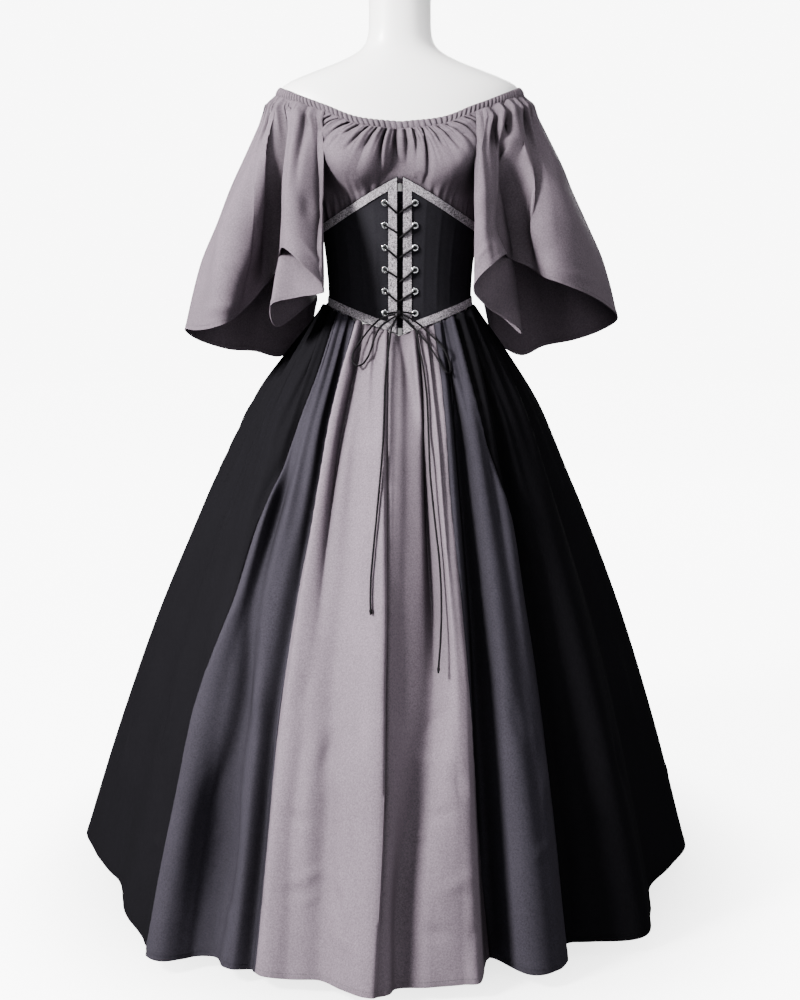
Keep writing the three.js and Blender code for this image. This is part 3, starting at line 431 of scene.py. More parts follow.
def lathe(name, profile, material, nodes=(), sides=96, turn=None, at=(0, 0, 0)):
    """A turned solid from a closed profile of (radius, height) in mm. turn is a matrix for its axis."""
    profile = np.asarray(profile, float)
    angles = np.arange(sides) * 2 * math.pi / sides
    radius, height = profile[:, :1], np.repeat(profile[:, 1:], sides, 1)
    points = np.stack([radius * np.cos(angles), radius * np.sin(angles), height], -1)
    if turn is not None:
        points = points @ np.asarray(turn, float).T
    points = points.reshape(-1, 3) + np.asarray(at, float)
    count = len(profile)
    j, i = np.meshgrid(np.arange(count), np.arange(sides), indexing="ij")
    j, i = j.ravel(), i.ravel()
    after, below = (i + 1) % sides, (j + 1) % count
    quads = np.stack([j * sides + i, j * sides + after, below * sides + after, below * sides + i], 1)
    area = (profile[:, 0] * np.roll(profile[:, 1], -1) - np.roll(profile[:, 0], -1) * profile[:, 1]).sum()
    if area < 0:
        quads = quads[:, ::-1]
    uv = np.stack([np.tile(angles, count), np.repeat(profile[:, 1], sides)], -1) * 0.01
    return new_piece(name, points, [quads], material, nodes, uv)


def smooth_path(points, step):
    """Points about a step apart on a smooth curve through a list of points."""
    points = np.asarray(points, float)
    knots = np.concatenate([[2 * points[0] - points[1]], points, [2 * points[-1] - points[-2]]])
    made = []
    for a, b, c, d in zip(knots, knots[1:], knots[2:], knots[3:]):
        count = max(1, int(round(np.linalg.norm(c - b) / step)))
        t = (np.arange(count) / count)[:, None]
        square, cube = 2 * a - 5 * b + 4 * c - d, 3 * b - a - 3 * c + d
        made.append(0.5 * (2 * b + (c - a) * t + square * t**2 + cube * t**3))
    return np.concatenate([*made, points[-1:]])


def tube_faces(count, sides):
    """Faces round a tube of count rings, closed at both ends by a fan to one more point each."""
    j, i = np.meshgrid(np.arange(count - 1), np.arange(sides), indexing="ij")
    j, i = j.ravel(), i.ravel()
    after = (i + 1) % sides
    quads = np.stack([j * sides + i, j * sides + after, (j + 1) * sides + after, (j + 1) * sides + i], 1)
    i = np.arange(sides)
    after = (i + 1) % sides
    first, last = np.full(sides, count * sides), np.full(sides, count * sides + 1)
    top = (count - 1) * sides
    fans = [np.stack([first, after, i], 1), np.stack([last, top + i, top + after], 1)]
    return [quads, np.concatenate(fans)]


def tube(name, path, radius, material, nodes=(), sides=10):
    """A closed tube along a path in millimetres. radius is one number or one for each point."""
    path = np.asarray(path, float)
    tangents = np.gradient(path, axis=0)
    tangents /= np.linalg.norm(tangents, axis=1, keepdims=True)
    radius = np.broadcast_to(np.asarray(radius, float), len(path))
    travelled = distance_along(path)
    angles = np.arange(sides) * 2 * math.pi / sides
    across = np.cross(tangents[0], (0.3, 0.2, 1.0))
    rings = []
    for point, tangent, reach in zip(path, tangents, radius):
        across = across - tangent * np.dot(across, tangent)
        across /= np.linalg.norm(across)
        up = np.cross(tangent, across)
        rings.append(point + reach * (np.cos(angles)[:, None] * across + np.sin(angles)[:, None] * up))
    rings = np.array(rings)
    count = len(path)
    points = np.concatenate([rings.reshape(-1, 3), path[:1], path[-1:]])
    uv = np.stack([np.tile(angles, count), np.repeat(travelled, sides)], -1) * MM
    uv = np.concatenate([uv, np.zeros((2, 2))])
    return new_piece(name, points, tube_faces(count, sides), material, nodes, uv)


def stitch_row(path, normals, pitch, length, radius):
    """Points and faces of a row of small stitches that lie along a path."""
    travelled = distance_along(path)
    at = np.arange(pitch / 2, travelled[-1], pitch)
    centres = np.stack([np.interp(at, travelled, path[:, k]) for k in range(3)], -1)
    ahead = np.stack([np.interp(at + 0.5, travelled, path[:, k]) for k in range(3)], -1)
    up = np.stack([np.interp(at, travelled, normals[:, k]) for k in range(3)], -1)
    forward = ahead - centres
    forward /= np.linalg.norm(forward, axis=1, keepdims=True) + 1e-9
    up /= np.linalg.norm(up, axis=1, keepdims=True)
    side = np.cross(up, forward)
    shape = [(-0.5, 0, 0), (0.5, 0, 0)]
    shape += [(place, *offset) for place in (-0.32, 0.32) for offset in ((1, 0), (0, 1), (-1, 0), (0, -1))]
    points = np.stack(
        [centres + forward * a * length + side * b * radius + up * c * radius for a, b, c in shape], 1
    ).reshape(-1, 3)
    first = (np.arange(len(at)) * len(shape))[:, None]
    corners = [[2 + k, 2 + (k + 1) % 4, 6 + (k + 1) % 4, 6 + k] for k in range(4)]
    quads = np.concatenate([first + np.array([corner]) for corner in corners])
    triangles = np.concatenate(
        [first + np.array([[0, 2 + (k + 1) % 4, 2 + k]]) for k in range(4)]
        + [first + np.array([[1, 6 + k, 6 + (k + 1) % 4]]) for k in range(4)]
    )
    return points, quads, triangles


def stitches(name, rows, material, pitch=4.6, length=3.3, radius=0.32):
    """One mesh of all the stitches along several paths. rows holds pairs of path and normals."""
    points, quads, triangles, count = [], [], [], 0
    for path, normals in rows:
        p, q, t = stitch_row(path, normals, pitch, length, radius)
        points.append(p)
        quads.append(q + count)
        triangles.append(t + count)
        count += len(p)
    return new_piece(
        name, np.concatenate(points), [np.concatenate(quads), np.concatenate(triangles)], material
    )


def ripple(u, v, seed, waves=9, reach=1.0):
    """A soft uneven surface from -1 to 1 or so, from a few sine waves in drawn directions."""
    draw = np.random.default_rng(seed)
    total = 0
    for _ in range(waves):
        a, b = draw.normal(0, reach, 2)
        total = total + np.sin(a * u + b * v + draw.uniform(0, 2 * math.pi))
    return total / math.sqrt(waves)


def creases(table, across, down, scale):
    """The sum of listed folds. Each is rows of: place down, place across,
    width before, width after, height.
    Widths and heights are in millimetres, and scale is the millimetres of one unit across."""
    total = np.zeros(np.broadcast(across, down).shape)
    for fold in table:
        place, before, after, height = (curve(fold, down, k) for k in (1, 2, 3, 4))
        away = (across - place) * scale
        total = total + height * bell(away / np.where(away < 0, before, after))
    return total


def dents(table, across, down, scale, length):
    """Short listed creases: place across, place down, half length and width, lean, height."""
    total = np.zeros(np.broadcast(across, down).shape)
    for at, below, half_long, half_wide, lean, height in table:
        x, y = (across - at) * scale, (down - below) * length
        c, s = math.cos(math.radians(lean)), math.sin(math.radians(lean))
        total = total + height * bell((x * c - y * s) / half_long) * bell((x * s + y * c) / half_wide)
    return total


def stitched_row(points, normals, row, lift):
    """A row of a surface as the path of a seam that lies on its face."""
    return points[row] + normals[row] * lift, normals[row]


# Materials. Scales are in waves a metre, reaches and depths in metres
UV_NAME = "cloth_m"
SHARP_DEG = 62
SLUB_SCALE = (900.0, 110.0, 1.0)
FIBRE_SCALE = 380.0
BLOTCH_SCALE = 9.0
BLOTCH_SHARE = 0.4
WEAVE_DEPTH = 0.0002
# Painted shade in folds and gathers: how near facing cloth must come, and how steeply the colour darkens
FOLD_SHADE_REACH, FOLD_SHADE_POWER = 0.05, 1.3
CORD_SPECKLE = 420.0
# Painted shade in the braid and cord: how near facing surfaces must come
CORD_SHADE_REACH = 0.006


def node_maker(material):
    material.use_nodes = True
    tree = material.node_tree
    tree.nodes.clear()

    def add(kind, inputs=(), links=(), **settings):
        node = tree.nodes.new(kind)
        for key, value in settings.items():
            setattr(node, key, value)
        for socket, value in dict(inputs).items():
            node.inputs[socket].default_value = value
        for socket, source in dict(links).items():
            tree.links.new(source, node.inputs[socket])
        return node

    return add


def maths(add, operation, *inputs, **settings):
    """The output of a math node. Each input is a number or another node's output."""
    values = {k: value for k, value in enumerate(inputs) if isinstance(value, (int, float))}
    links = {k: source for k, source in enumerate(inputs) if k not in values}
    return add("ShaderNodeMath", values, links, operation=operation, **settings).outputs[0]


def linear(r, g, b):
    """An sRGB colour from 11 to 255 as a linear one."""
    return tuple(((c / 255 + 0.055) / 1.055) ** 2.4 for c in (r, g, b))


def shade_pair(add, low, high, factor):
    """A ramp between two colours."""
    ramp = add("ShaderNodeMix", {6: low, 7: high}, {0: factor}, data_type="RGBA")
    return ramp.outputs[2]


def spread_pair(add, colour, spread, factor):
    """A ramp from a darker to a lighter shade of a colour."""
    low = tuple(c * (1 - spread) for c in colour[:3]) + (1.0,)
    high = tuple(min(1.0, c * (1 + spread)) for c in colour[:3]) + (1.0,)
    return shade_pair(add, low, high, factor)


def noise(add, scale, detail, roughness, vector):
    settings = {"Scale": scale, "Detail": detail, "Roughness": roughness}
    return add("ShaderNodeTexNoise", settings, {"Vector": vector}).outputs["Fac"]


def finish(add, values, base, rough, strength, depth, height):
    """The bump, the shader and the output that each material of the dress ends with."""
    bump = add("ShaderNodeBump", {"Strength": strength, "Distance": depth}, {"Height": height})
    links = {"Base Color": base, "Roughness": rough.outputs["Result"], "Normal": bump.outputs["Normal"]}
    shader = add("ShaderNodeBsdfPrincipled", values, links)
    add("ShaderNodeOutputMaterial", links={"Surface": shader.outputs["BSDF"]})


def painted_crease_shade(add, colour, reach, power):
    """The colour with painted shade: darker in folds and gathers where cloth faces cloth closer than reach
    metres.
    """
    open_sky = add("ShaderNodeAmbientOcclusion", {"Distance": reach}, samples=8)
    bent = maths(add, "POWER", open_sky.outputs["AO"], power)
    links = {6: colour, 7: bent}
    return add("ShaderNodeMix", {0: 1.0}, links, data_type="RGBA", blend_type="MULTIPLY").outputs[2]


def cloth_material(name, colour, spread, roughness, sheen, gloss, thread=0.0011, twill=0.0):
    """Woven cotton: threads across and along the cloth, soft blotches, fine fibres and a little sheen."""
    material = bpy.data.materials.new(name)
    add = node_maker(material)
    uv = add("ShaderNodeUVMap", uv_map=UV_NAME).outputs["UV"]
    place = add("ShaderNodeTexCoord").outputs["Object"]
    split = add("ShaderNodeSeparateXYZ", links={"Vector": uv})

    def wave(axis, other=None, lean=0.0):
        source = split.outputs[axis]
        if other:
            source = maths(add, "ADD", source, maths(add, "MULTIPLY", split.outputs[other], lean))
        sine = maths(add, "SINE", maths(add, "MULTIPLY", source, 2 * math.pi / thread))
        return maths(add, "MULTIPLY_ADD", sine, 0.5, 0.5)

    weave = maths(add, "MULTIPLY", wave("X"), wave("Y", "X" if twill else None, twill))
    stretch = add("ShaderNodeMapping", {"Scale": SLUB_SCALE}, {"Vector": uv})
    slub = noise(add, 1.0, 3.0, 0.6, stretch.outputs["Vector"])
    fibre = noise(add, FIBRE_SCALE, 3.0, 0.75, place)
    broad = noise(add, BLOTCH_SCALE, 4.0, 0.6, place)
    grain = add("ShaderNodeMapRange", {"From Min": 0.33, "From Max": 0.67}, {"Value": fibre})
    part = maths(add, "MULTIPLY", grain.outputs["Result"], 1 - BLOTCH_SHARE)
    mixed = maths(add, "ADD", part, maths(add, "MULTIPLY", broad, BLOTCH_SHARE))
    threads = maths(add, "MULTIPLY_ADD", weave, 0.35, -0.08)
    mixed = maths(add, "ADD", mixed, threads, use_clamp=True)
    # Painted shade: the colour darkens in folds and gathers where cloth faces cloth
    base = painted_crease_shade(add, spread_pair(add, colour, spread, mixed), FOLD_SHADE_REACH, FOLD_SHADE_POWER)
    reach = {"To Min": roughness - 0.08, "To Max": roughness + 0.06}
    rough = add("ShaderNodeMapRange", reach, {"Value": mixed})
    height = maths(add, "ADD", maths(add, "MULTIPLY", slub, 0.55), weave)
    values = {"Sheen Weight": sheen, "Sheen Roughness": 0.4, "Specular IOR Level": gloss}
    values["Sheen Tint"] = tuple(min(1.0, c * 1.6 + 0.15) for c in colour[:3]) + (1.0,)
    finish(add, values, base, rough, 0.55, WEAVE_DEPTH, height)
    return material


def plain_material(name, colour, spread, roughness, grain, depth, metallic=0.0, coat=0.0):
    """A hard or threaded finish: slight colour change and grain over a principled shader."""
    material = bpy.data.materials.new(name)
    add = node_maker(material)
    place = add("ShaderNodeTexCoord")
    stretched = add("ShaderNodeMapping", {"Scale": grain}, {"Vector": place.outputs["Object"]})
    speckle = noise(add, 1.0, 5.0, 0.6, stretched.outputs["Vector"])
    base = spread_pair(add, colour, spread, speckle)
    reach = {"To Min": roughness * 0.82, "To Max": roughness * 1.18}
    rough = add("ShaderNodeMapRange", reach, {"Value": speckle})
    gloss = 0.5 if coat or metallic else 0.05
    values = {"Metallic": metallic, "Coat Weight": coat, "Coat Roughness": 0.18, "Specular IOR Level": gloss}
    finish(add, values, base, rough, 0.4, depth, speckle)
    return material


def corded_material(name, colour, spread, roughness, pitch, lean, depth, sheen=0.0):
    """Braided cord or gimp: two sets of strands that lean across each other, by the mesh's own map."""
    material = bpy.data.materials.new(name)
    add = node_maker(material)
    uv = add("ShaderNodeUVMap", uv_map=UV_NAME)
    split = add("ShaderNodeSeparateXYZ", links={"Vector": uv.outputs["UV"]})

    def strands(direction):
        side = maths(add, "MULTIPLY", split.outputs["X"], direction * lean)
        along = maths(add, "MULTIPLY", split.outputs["Y"], 2 * math.pi / pitch)
        return maths(add, "MULTIPLY_ADD", maths(add, "SINE", maths(add, "ADD", side, along)), 0.5, 0.5)

    height = maths(add, "MAXIMUM", strands(1), strands(-1))
    speckle = noise(add, CORD_SPECKLE, 3.0, 0.7, add("ShaderNodeTexCoord").outputs["Object"])
    speck = add("ShaderNodeMapRange", {"From Min": 0.36, "From Max": 0.66}, {"Value": speckle})
    mixed = maths(add, "MULTIPLY", height, speck.outputs["Result"])
    # Painted shade: the colour darkens where the braid or cord faces other surfaces closely
    base = painted_crease_shade(add, spread_pair(add, colour, spread, mixed), CORD_SHADE_REACH, 1.0)
    reach = {"To Min": roughness * 1.15, "To Max": roughness * 0.85}
    rough = add("ShaderNodeMapRange", reach, {"Value": mixed})
    values = {"Sheen Weight": sheen, "Sheen Roughness": 0.35, "Specular IOR Level": 0.06}
    finish(add, values, base, rough, 0.7, depth, height)
    return material


THREAD_GRAIN, THREAD_DEPTH = (900.0, 900.0, 900.0), 0.00005
DOVE = cloth_material("dove_cotton", (0.138, 0.111, 0.1345), 0.42, 0.76, 0.03, 0.12)
# A shaded copy of the dove cotton for the casing, bodice and sleeves: the skirt's colour darkened by about a
# quarter, painted shade
DOVE_SHADED_COPY = cloth_material("dove_cotton_shaded_copy", (0.106, 0.085, 0.103), 0.42, 0.76, 0.03, 0.1)
CHARCOAL = cloth_material("charcoal_cotton", (0.0245, 0.0222, 0.029), 0.42, 0.85, 0.01, 0.04)
BLACK = cloth_material("black_cotton", (0.005, 0.0047, 0.0057), 0.3, 0.9, 0.0, 0.012)
CORSET_BLACK = cloth_material(
    "corset_twill", (0.0125, 0.0118, 0.0145), 0.3, 0.75, 0.0, 0.03, thread=0.0013, twill=1.0
)
BRAID = corded_material("silver_gimp", (0.37, 0.338, 0.37), 0.85, 0.5, 0.0034, 2600.0, 0.0006, sheen=0.1)
CORD = corded_material("black_cord", (0.006, 0.0056, 0.0064), 0.4, 0.7, 0.0016, 2000.0, 0.00018)
EYELET = plain_material(
    "eyelet_nickel", linear(205, 205, 207), 0.08, 0.24, (260.0, 260.0, 260.0), 0.00002, metallic=1.0
)
FORM_WHITE = plain_material(
    "form_gloss", linear(250, 248, 247), 0.01, 0.4, (5.0, 5.0, 5.0), 0.0003, coat=0.15
)
STEEL = plain_material(
    "brushed_steel", linear(186, 187, 190), 0.1, 0.3, (6.0, 6.0, 420.0), 0.00003, metallic=1.0
)
DOVE_THREAD = plain_material("dove_thread", (0.1, 0.09, 0.1), 0.12, 0.7, THREAD_GRAIN, THREAD_DEPTH)
DARK_THREAD = plain_material("dark_thread", (0.022, 0.021, 0.026), 0.2, 0.8, THREAD_GRAIN, THREAD_DEPTH)
BLACK_THREAD = plain_material("black_thread", (0.005, 0.005, 0.006), 0.2, 0.9, THREAD_GRAIN, THREAD_DEPTH)


# Camera, floor and lights, in metres and degrees
CAMERA_LENS, CAMERA_PLACE, CAMERA_TILT = 52.6, (0, -2.6, 1.168), 10.55
# Name, place, aim, size, watts, colour
AREA_LIGHTS = (
    ("key", (-2.47, -1.67, 2.5), (0, 0, 0.85), 0.8, 600, (1, 0.99, 0.985)),
    ("fill", (0.9, -4.2, 1.3), (0, 0, 0.8), 2.4, 48, (0.98, 0.98, 1)),
    ("crown", (-0.5, -1.3, 4.0), (0, 0, 1.2), 1.2, 50, (1, 1, 1)),
    ("rim", (3.9, -0.5, 2.6), (0, 0, 1.0), 1.4, 60, (1, 1, 1)),
    ("back", (1.2, 4.0, 2.6), (0, 0, 0.9), 2.0, 160, (1, 1, 1)),
)
# Name, place, aim, width of the cone, softness, watts
SPOT_LIGHTS = (
    ("chest", (1.3, -2.6, 2.7), (0, 0, 1.6), 7, 0.9, 800),
    ("bodice", (-1.5, -2.7, 2.2), (-0.07, -0.1, 1.3), 4.6, 1.0, 180),
)
WORLD_COLOUR, WORLD_STRENGTH = (0.93, 0.94, 1, 1), 0.16
BACKDROP_COLOUR = (1, 1, 1, 1)
BACKDROP_GLOW = 8.5
# Glow of the floor: in its painted shadow under the hem, near the dress, and added far out
FLOOR_GLOW_PAINTED_SHADOW, FLOOR_GLOW_NEAR, FLOOR_GLOW_FAR = 2.2, BACKDROP_GLOW - 0.7, 0.66
FLOOR_RADIUS, BACKDROP_RADIUS = 9, 9.2


def make_camera():
    data = bpy.data.cameras.new("view_camera")
    data.sensor_width = 36
    data.lens = CAMERA_LENS
    data.clip_start, data.clip_end = 0.05, 100
    camera = bpy.data.objects.new("view_camera", data)
    camera.location = CAMERA_PLACE
    camera.rotation_euler = (math.radians(90 - CAMERA_TILT), 0, 0)
    bpy.context.scene.collection.objects.link(camera)
    bpy.context.scene.camera = camera


def hang_light(name, data, place, aim, energy):
    data.energy = energy
    light = bpy.data.objects.new(name, data)
    light.location = place
    light.rotation_euler = (Vector(aim) - Vector(place)).to_track_quat("-Z", "Y").to_euler()
    bpy.context.scene.collection.objects.link(light)


def area_light(name, place, aim, size, energy, colour):
    data = bpy.data.lights.new(name, "AREA")
    data.shape = "DISK"
    data.size = size
    data.color = colour
    hang_light(name, data, place, aim, energy)


def spot_light(name, place, aim, cone, blend, energy):
    data = bpy.data.lights.new(name, "SPOT")
    data.spot_size = math.radians(cone)
    data.spot_blend = blend
    data.shadow_soft_size = 0.3
    hang_light(name, data, place, aim, energy)


def make_stage():
    """A pale floor and backdrop that glow evenly for the camera and cast no light on the dress.
    The floor glows less under the hem: a soft painted contact shadow."""
    floor_material = bpy.data.materials.new("studio_floor")
    add = node_maker(floor_material)
    place = add("ShaderNodeTexCoord")
    length = add("ShaderNodeVectorMath", links={0: place.outputs["Object"]}, operation="LENGTH")
    # Painted contact shadow: the glow is lowest within 0.36 m of the middle and full beyond 0.82 m
    reach = {"From Min": 0.36, "From Max": 0.82}
    under = add("ShaderNodeMapRange", reach, {"Value": length.outputs["Value"]})
    under.interpolation_type = "SMOOTHSTEP"
    grain = add("ShaderNodeTexNoise", {"Scale": 60.0, "Detail": 3.0}, {"Vector": place.outputs["Object"]})
    tint = shade_pair(add, (0.4, 0.4, 0.4, 1), (0.43, 0.43, 0.43, 1), grain.outputs["Fac"])
    matte = add("ShaderNodeBsdfDiffuse", {"Roughness": 0.6}, {"Color": tint})
    reach = {"To Min": FLOOR_GLOW_PAINTED_SHADOW, "To Max": FLOOR_GLOW_NEAR}
    near = add("ShaderNodeMapRange", reach, {"Value": under.outputs["Result"]})
    reach = {"From Min": 0.8, "From Max": 4.0, "To Max": FLOOR_GLOW_FAR}
    far = add("ShaderNodeMapRange", reach, {"Value": length.outputs["Value"]})
    power = maths(add, "ADD", near.outputs["Result"], far.outputs["Result"])
    glow = add("ShaderNodeEmission", {"Color": BACKDROP_COLOUR}, {"Strength": power})
    both = add("ShaderNodeAddShader", {}, {0: matte.outputs[0], 1: glow.outputs[0]})
    add("ShaderNodeOutputMaterial", links={"Surface": both.outputs[0]})
    bpy.ops.mesh.primitive_circle_add(
        vertices=96, radius=FLOOR_RADIUS, fill_type="NGON", location=(0, 0, -0.0005)
    )
    floor = bpy.context.object
    floor.name = "studio_floor"
    floor.data.materials.append(floor_material)
    sky_material = bpy.data.materials.new("studio_backdrop")
    add = node_maker(sky_material)
    glow = add("ShaderNodeEmission", {"Color": BACKDROP_COLOUR, "Strength": BACKDROP_GLOW})
    add("ShaderNodeOutputMaterial", links={"Surface": glow.outputs[0]})
    bpy.ops.mesh.primitive_uv_sphere_add(segments=48, ring_count=24, radius=BACKDROP_RADIUS)
    sky = bpy.context.object
    sky.name = "studio_backdrop"
    sky.data.materials.append(sky_material)
    sky.data.shade_smooth()
    for shown in (floor, sky):
        shown.visible_diffuse = False
        shown.visible_glossy = False
    sky.visible_shadow = False


def make_lights():
    world = bpy.data.worlds.new("studio")
    world.use_nodes = True
    background = world.node_tree.nodes["Background"]
    background.inputs["Color"].default_value = WORLD_COLOUR
    background.inputs["Strength"].default_value = WORLD_STRENGTH
    bpy.context.scene.world = world
    for row in AREA_LIGHTS:
        area_light(*row)
    for row in SPOT_LIGHTS:
        spot_light(*row)


make_camera()
make_stage()
make_lights()


# The dress form, its pole and base, in millimetres
BASE_RADIUS, BASE_THICKNESS, POLE_RADIUS = 190, 6, 15
PIECE_GAP = 0.3


def dress_form():
    """The form from its lower edge to a neck with a rounded rim and a flat cap."""
    low, high = TORSO[0][0], TORSO[-1][0]
    round_off, levels, sides = 4, 120, 96
    edge = [(round_off * math.cos(a), round_off * math.sin(a)) for a in np.linspace(0, math.pi / 2, 5)]
    flat = high - round_off
    heights = np.concatenate([np.linspace(low, flat, levels), [flat + e[1] for e in edge[1:]]])
    inward = np.concatenate([np.zeros(levels), [round_off - e[0] for e in edge[1:]]])
    deg = np.arange(sides) * 360 / sides
    rings = body_point(deg[None], heights[:, None], -inward[:, None])
    for share in (0.75, 0.4, 0.1):
        rings = np.concatenate([rings, (rings[-5:-4] * (share, share, 0) + (0, 0, high))])
    count = len(rings)
    points = np.concatenate([rings.reshape(-1, 3), [(0, 0, low)], [(0, 0, high)]])
    new_piece("dress_form", points, tube_faces(count, sides), FORM_WHITE, ["form_torso"])


def stand():
    """A turned steel base with rounded edges, and the pole between base and form."""
    outer, thick, fillet, bore = BASE_RADIUS, BASE_THICKNESS, 1.6, 0.5
    arc = [(fillet * math.cos(a), fillet * math.sin(a)) for a in np.linspace(0, math.pi / 2, 5)]
    rim = [(outer - fillet + x, thick - fillet + y) for x, y in arc]
    foot = [(outer - fillet + x, fillet - y) for x, y in reversed(arc)]
    base = [(bore, 0), *foot, *rim, (30, thick), (bore, thick)]
    lathe("stand_base", base, STEEL, ["form_base"], 160)
    low, high = thick + PIECE_GAP, TORSO[0][0] - PIECE_GAP
    pole = [(POLE_RADIUS, low), (POLE_RADIUS, high), (bore, high), (bore, low)]
    lathe("stand_pole", pole, STEEL, ["form_pole"], 64)


dress_form()
stand()


# Neckline casing, bodice and sleeves
CRIMPS = 144


def casing():
    columns, rows = 1080, 8
    u = np.arange(columns) / columns
    v = np.linspace(-0.12, 1.12, rows)[:, None]
    deg = -360 * u[None]
    puff = np.sin(math.pi * np.clip((v + 0.12) / 1.24, 0, 1)) ** 0.6
    uneven = 1 + 0.35 * ripple(u[None] * 60, v * 0.6, 3)
    wave = np.cos(math.pi * CRIMPS * u[None] + 0.7 * ripple(u[None] * 40, v, 4) + 0.4 * v)
    crimp = (3.4 * np.abs(wave) ** 0.7 - 2.0) * uneven
    z = neckline_height(deg) + CASING_GAP + CASING_HEIGHT * (1 - v)
    z = z + 0.35 * np.where(v < 0.2, 1, 0) * np.cos(2 * math.pi * CRIMPS * u[None])
    out = CASING_OUT + crimp + 0.5 * puff - 1.1 * (1 - v)
    piece = shell(
        "casing_elastic", body_point(deg, z, out), CASING_WALL - 0.6 + 0.5 * puff, DOVE_SHADED_COPY,
        ["neck_casing"], ring=True,
    )


# Valleys of the gathers: place on the row of gathers, how far it leans,
# top and end below the casing, width and depth in mm
BODICE_VALLEYS = (
    (7.6, 0.5, 0, 110, 3.4, 14.0), (8.6, 0.4, 0, 130, 3.4, 14.5), (9.5, -0.1, 0, 64, 2.6, 8.0),
    (11.2, -1.0, 0, 116, 3.2, 12.0), (10.2, -0.3, 0, 70, 2.8, 9.0), (12.1, 0.1, 0, 40, 2.6, 8.0),
    (13.0, 0.4, 0, 58, 3.0, 9.5), (14.0, 0.4, 0, 34, 2.6, 7.5), (15.1, 0.6, 0, 56, 3.2, 9.5),
    (16.3, 0.6, 0, 40, 2.8, 7.5), (6.6, -0.2, 0, 44, 2.6, 8.0), (5.5, -0.4, 0, 54, 3.0, 9.0),
    (4.4, -0.4, 0, 34, 2.6, 7.5), (3.3, -0.6, 0, 60, 3.2, 9.5), (2.1, -0.5, 0, 38, 2.8, 7.5),
    (1.2, -0.4, 6, 120, 4.2, 6.0), (17.0, 0.4, 4, 124, 4.2, 6.4), (0.4, 0.9, 92, 150, 4.0, 4.0),
    (14.4, 0.5, 30, 100, 5.0, 3.0), (3.9, -0.6, 34, 104, 5.0, 2.6),
)
# Long folds of the sleeves: place down, place on the row of gathers,
# width before and after, height in mm
SLEEVE_RIGHT_CREASES = (
    ((0, 3.2, 4, 6, -3), (0.1, 3.2, 4.5, 10, -13), (0.25, 3.25, 5, 14, -26), (0.5, 3.45, 6, 17, -40),
     (0.75, 3.6, 7, 18, -40), (0.9, 3.7, 8, 18, -22), (1, 3.8, 8, 18, -6)),
    ((0, 4.2, 4, 6, 1), (0.12, 4.5, 6, 12, 8), (0.25, 4.8, 11, 16, 20), (0.5, 5.3, 26, 26, 42),
     (0.75, 5.6, 32, 30, 38), (0.9, 5.8, 34, 34, 22), (1, 5.9, 34, 40, 6)),
    ((0, 0, 3, 4, 0), (0.25, 0, 4, 14, -4), (0.5, 0, 4, 26, -10), (0.8, 0, 4, 34, -14), (1, 0, 4, 34, -6)),
    ((0, 2.3, 8, 2.6, 2), (0.2, 2.2, 12, 3, 8), (0.5, 2.2, 18, 4, 10), (0.8, 2.4, 22, 6, 7),
     (1, 2.5, 24, 8, 2)),
    ((0, 1.35, 2.6, 2.6, -3), (0.12, 1.5, 3.5, 3.5, -6), (0.35, 1.75, 5, 5, -5.5), (0.62, 1.9, 7, 7, 0)),
    ((0, 0.5, 3, 3, -2), (0.3, 0.45, 5, 6, -5), (0.7, 0.6, 8, 9, 0)),
    ((0, 2.9, 3, 3, -3), (0.14, 3.0, 4, 4, -7), (0.28, 3.1, 6, 6, 0)),
    ((0, 5.1, 4, 5, -3), (0.15, 5.3, 6, 7, -6), (0.4, 5.6, 12, 14, -5), (0.7, 5.8, 20, 22, 0)),
    ((0, 6.6, 4, 4, -3), (0.2, 6.7, 7, 7, -5), (0.42, 6.9, 12, 12, 0)),
    ((0, 8.0, 5, 5, -3), (0.3, 8.1, 12, 12, -7), (0.7, 8.3, 20, 20, 0)),
    ((0, 9.3, 4, 4, -3), (0.18, 9.3, 7, 7, -5), (0.4, 9.2, 12, 12, 0)),
    ((0, 10.5, 5, 5, -3), (0.4, 10.6, 14, 16, -9), (0.9, 10.8, 24, 24, -3), (1, 10.8, 24, 24, 0)),
    ((0, 11.8, 4, 4, -3), (0.2, 11.8, 7, 7, -5), (0.5, 11.7, 12, 12, 0)),
    ((0, 13.1, 5, 5, -3), (0.35, 13.0, 12, 12, -8), (0.8, 12.9, 20, 20, 0)),
)
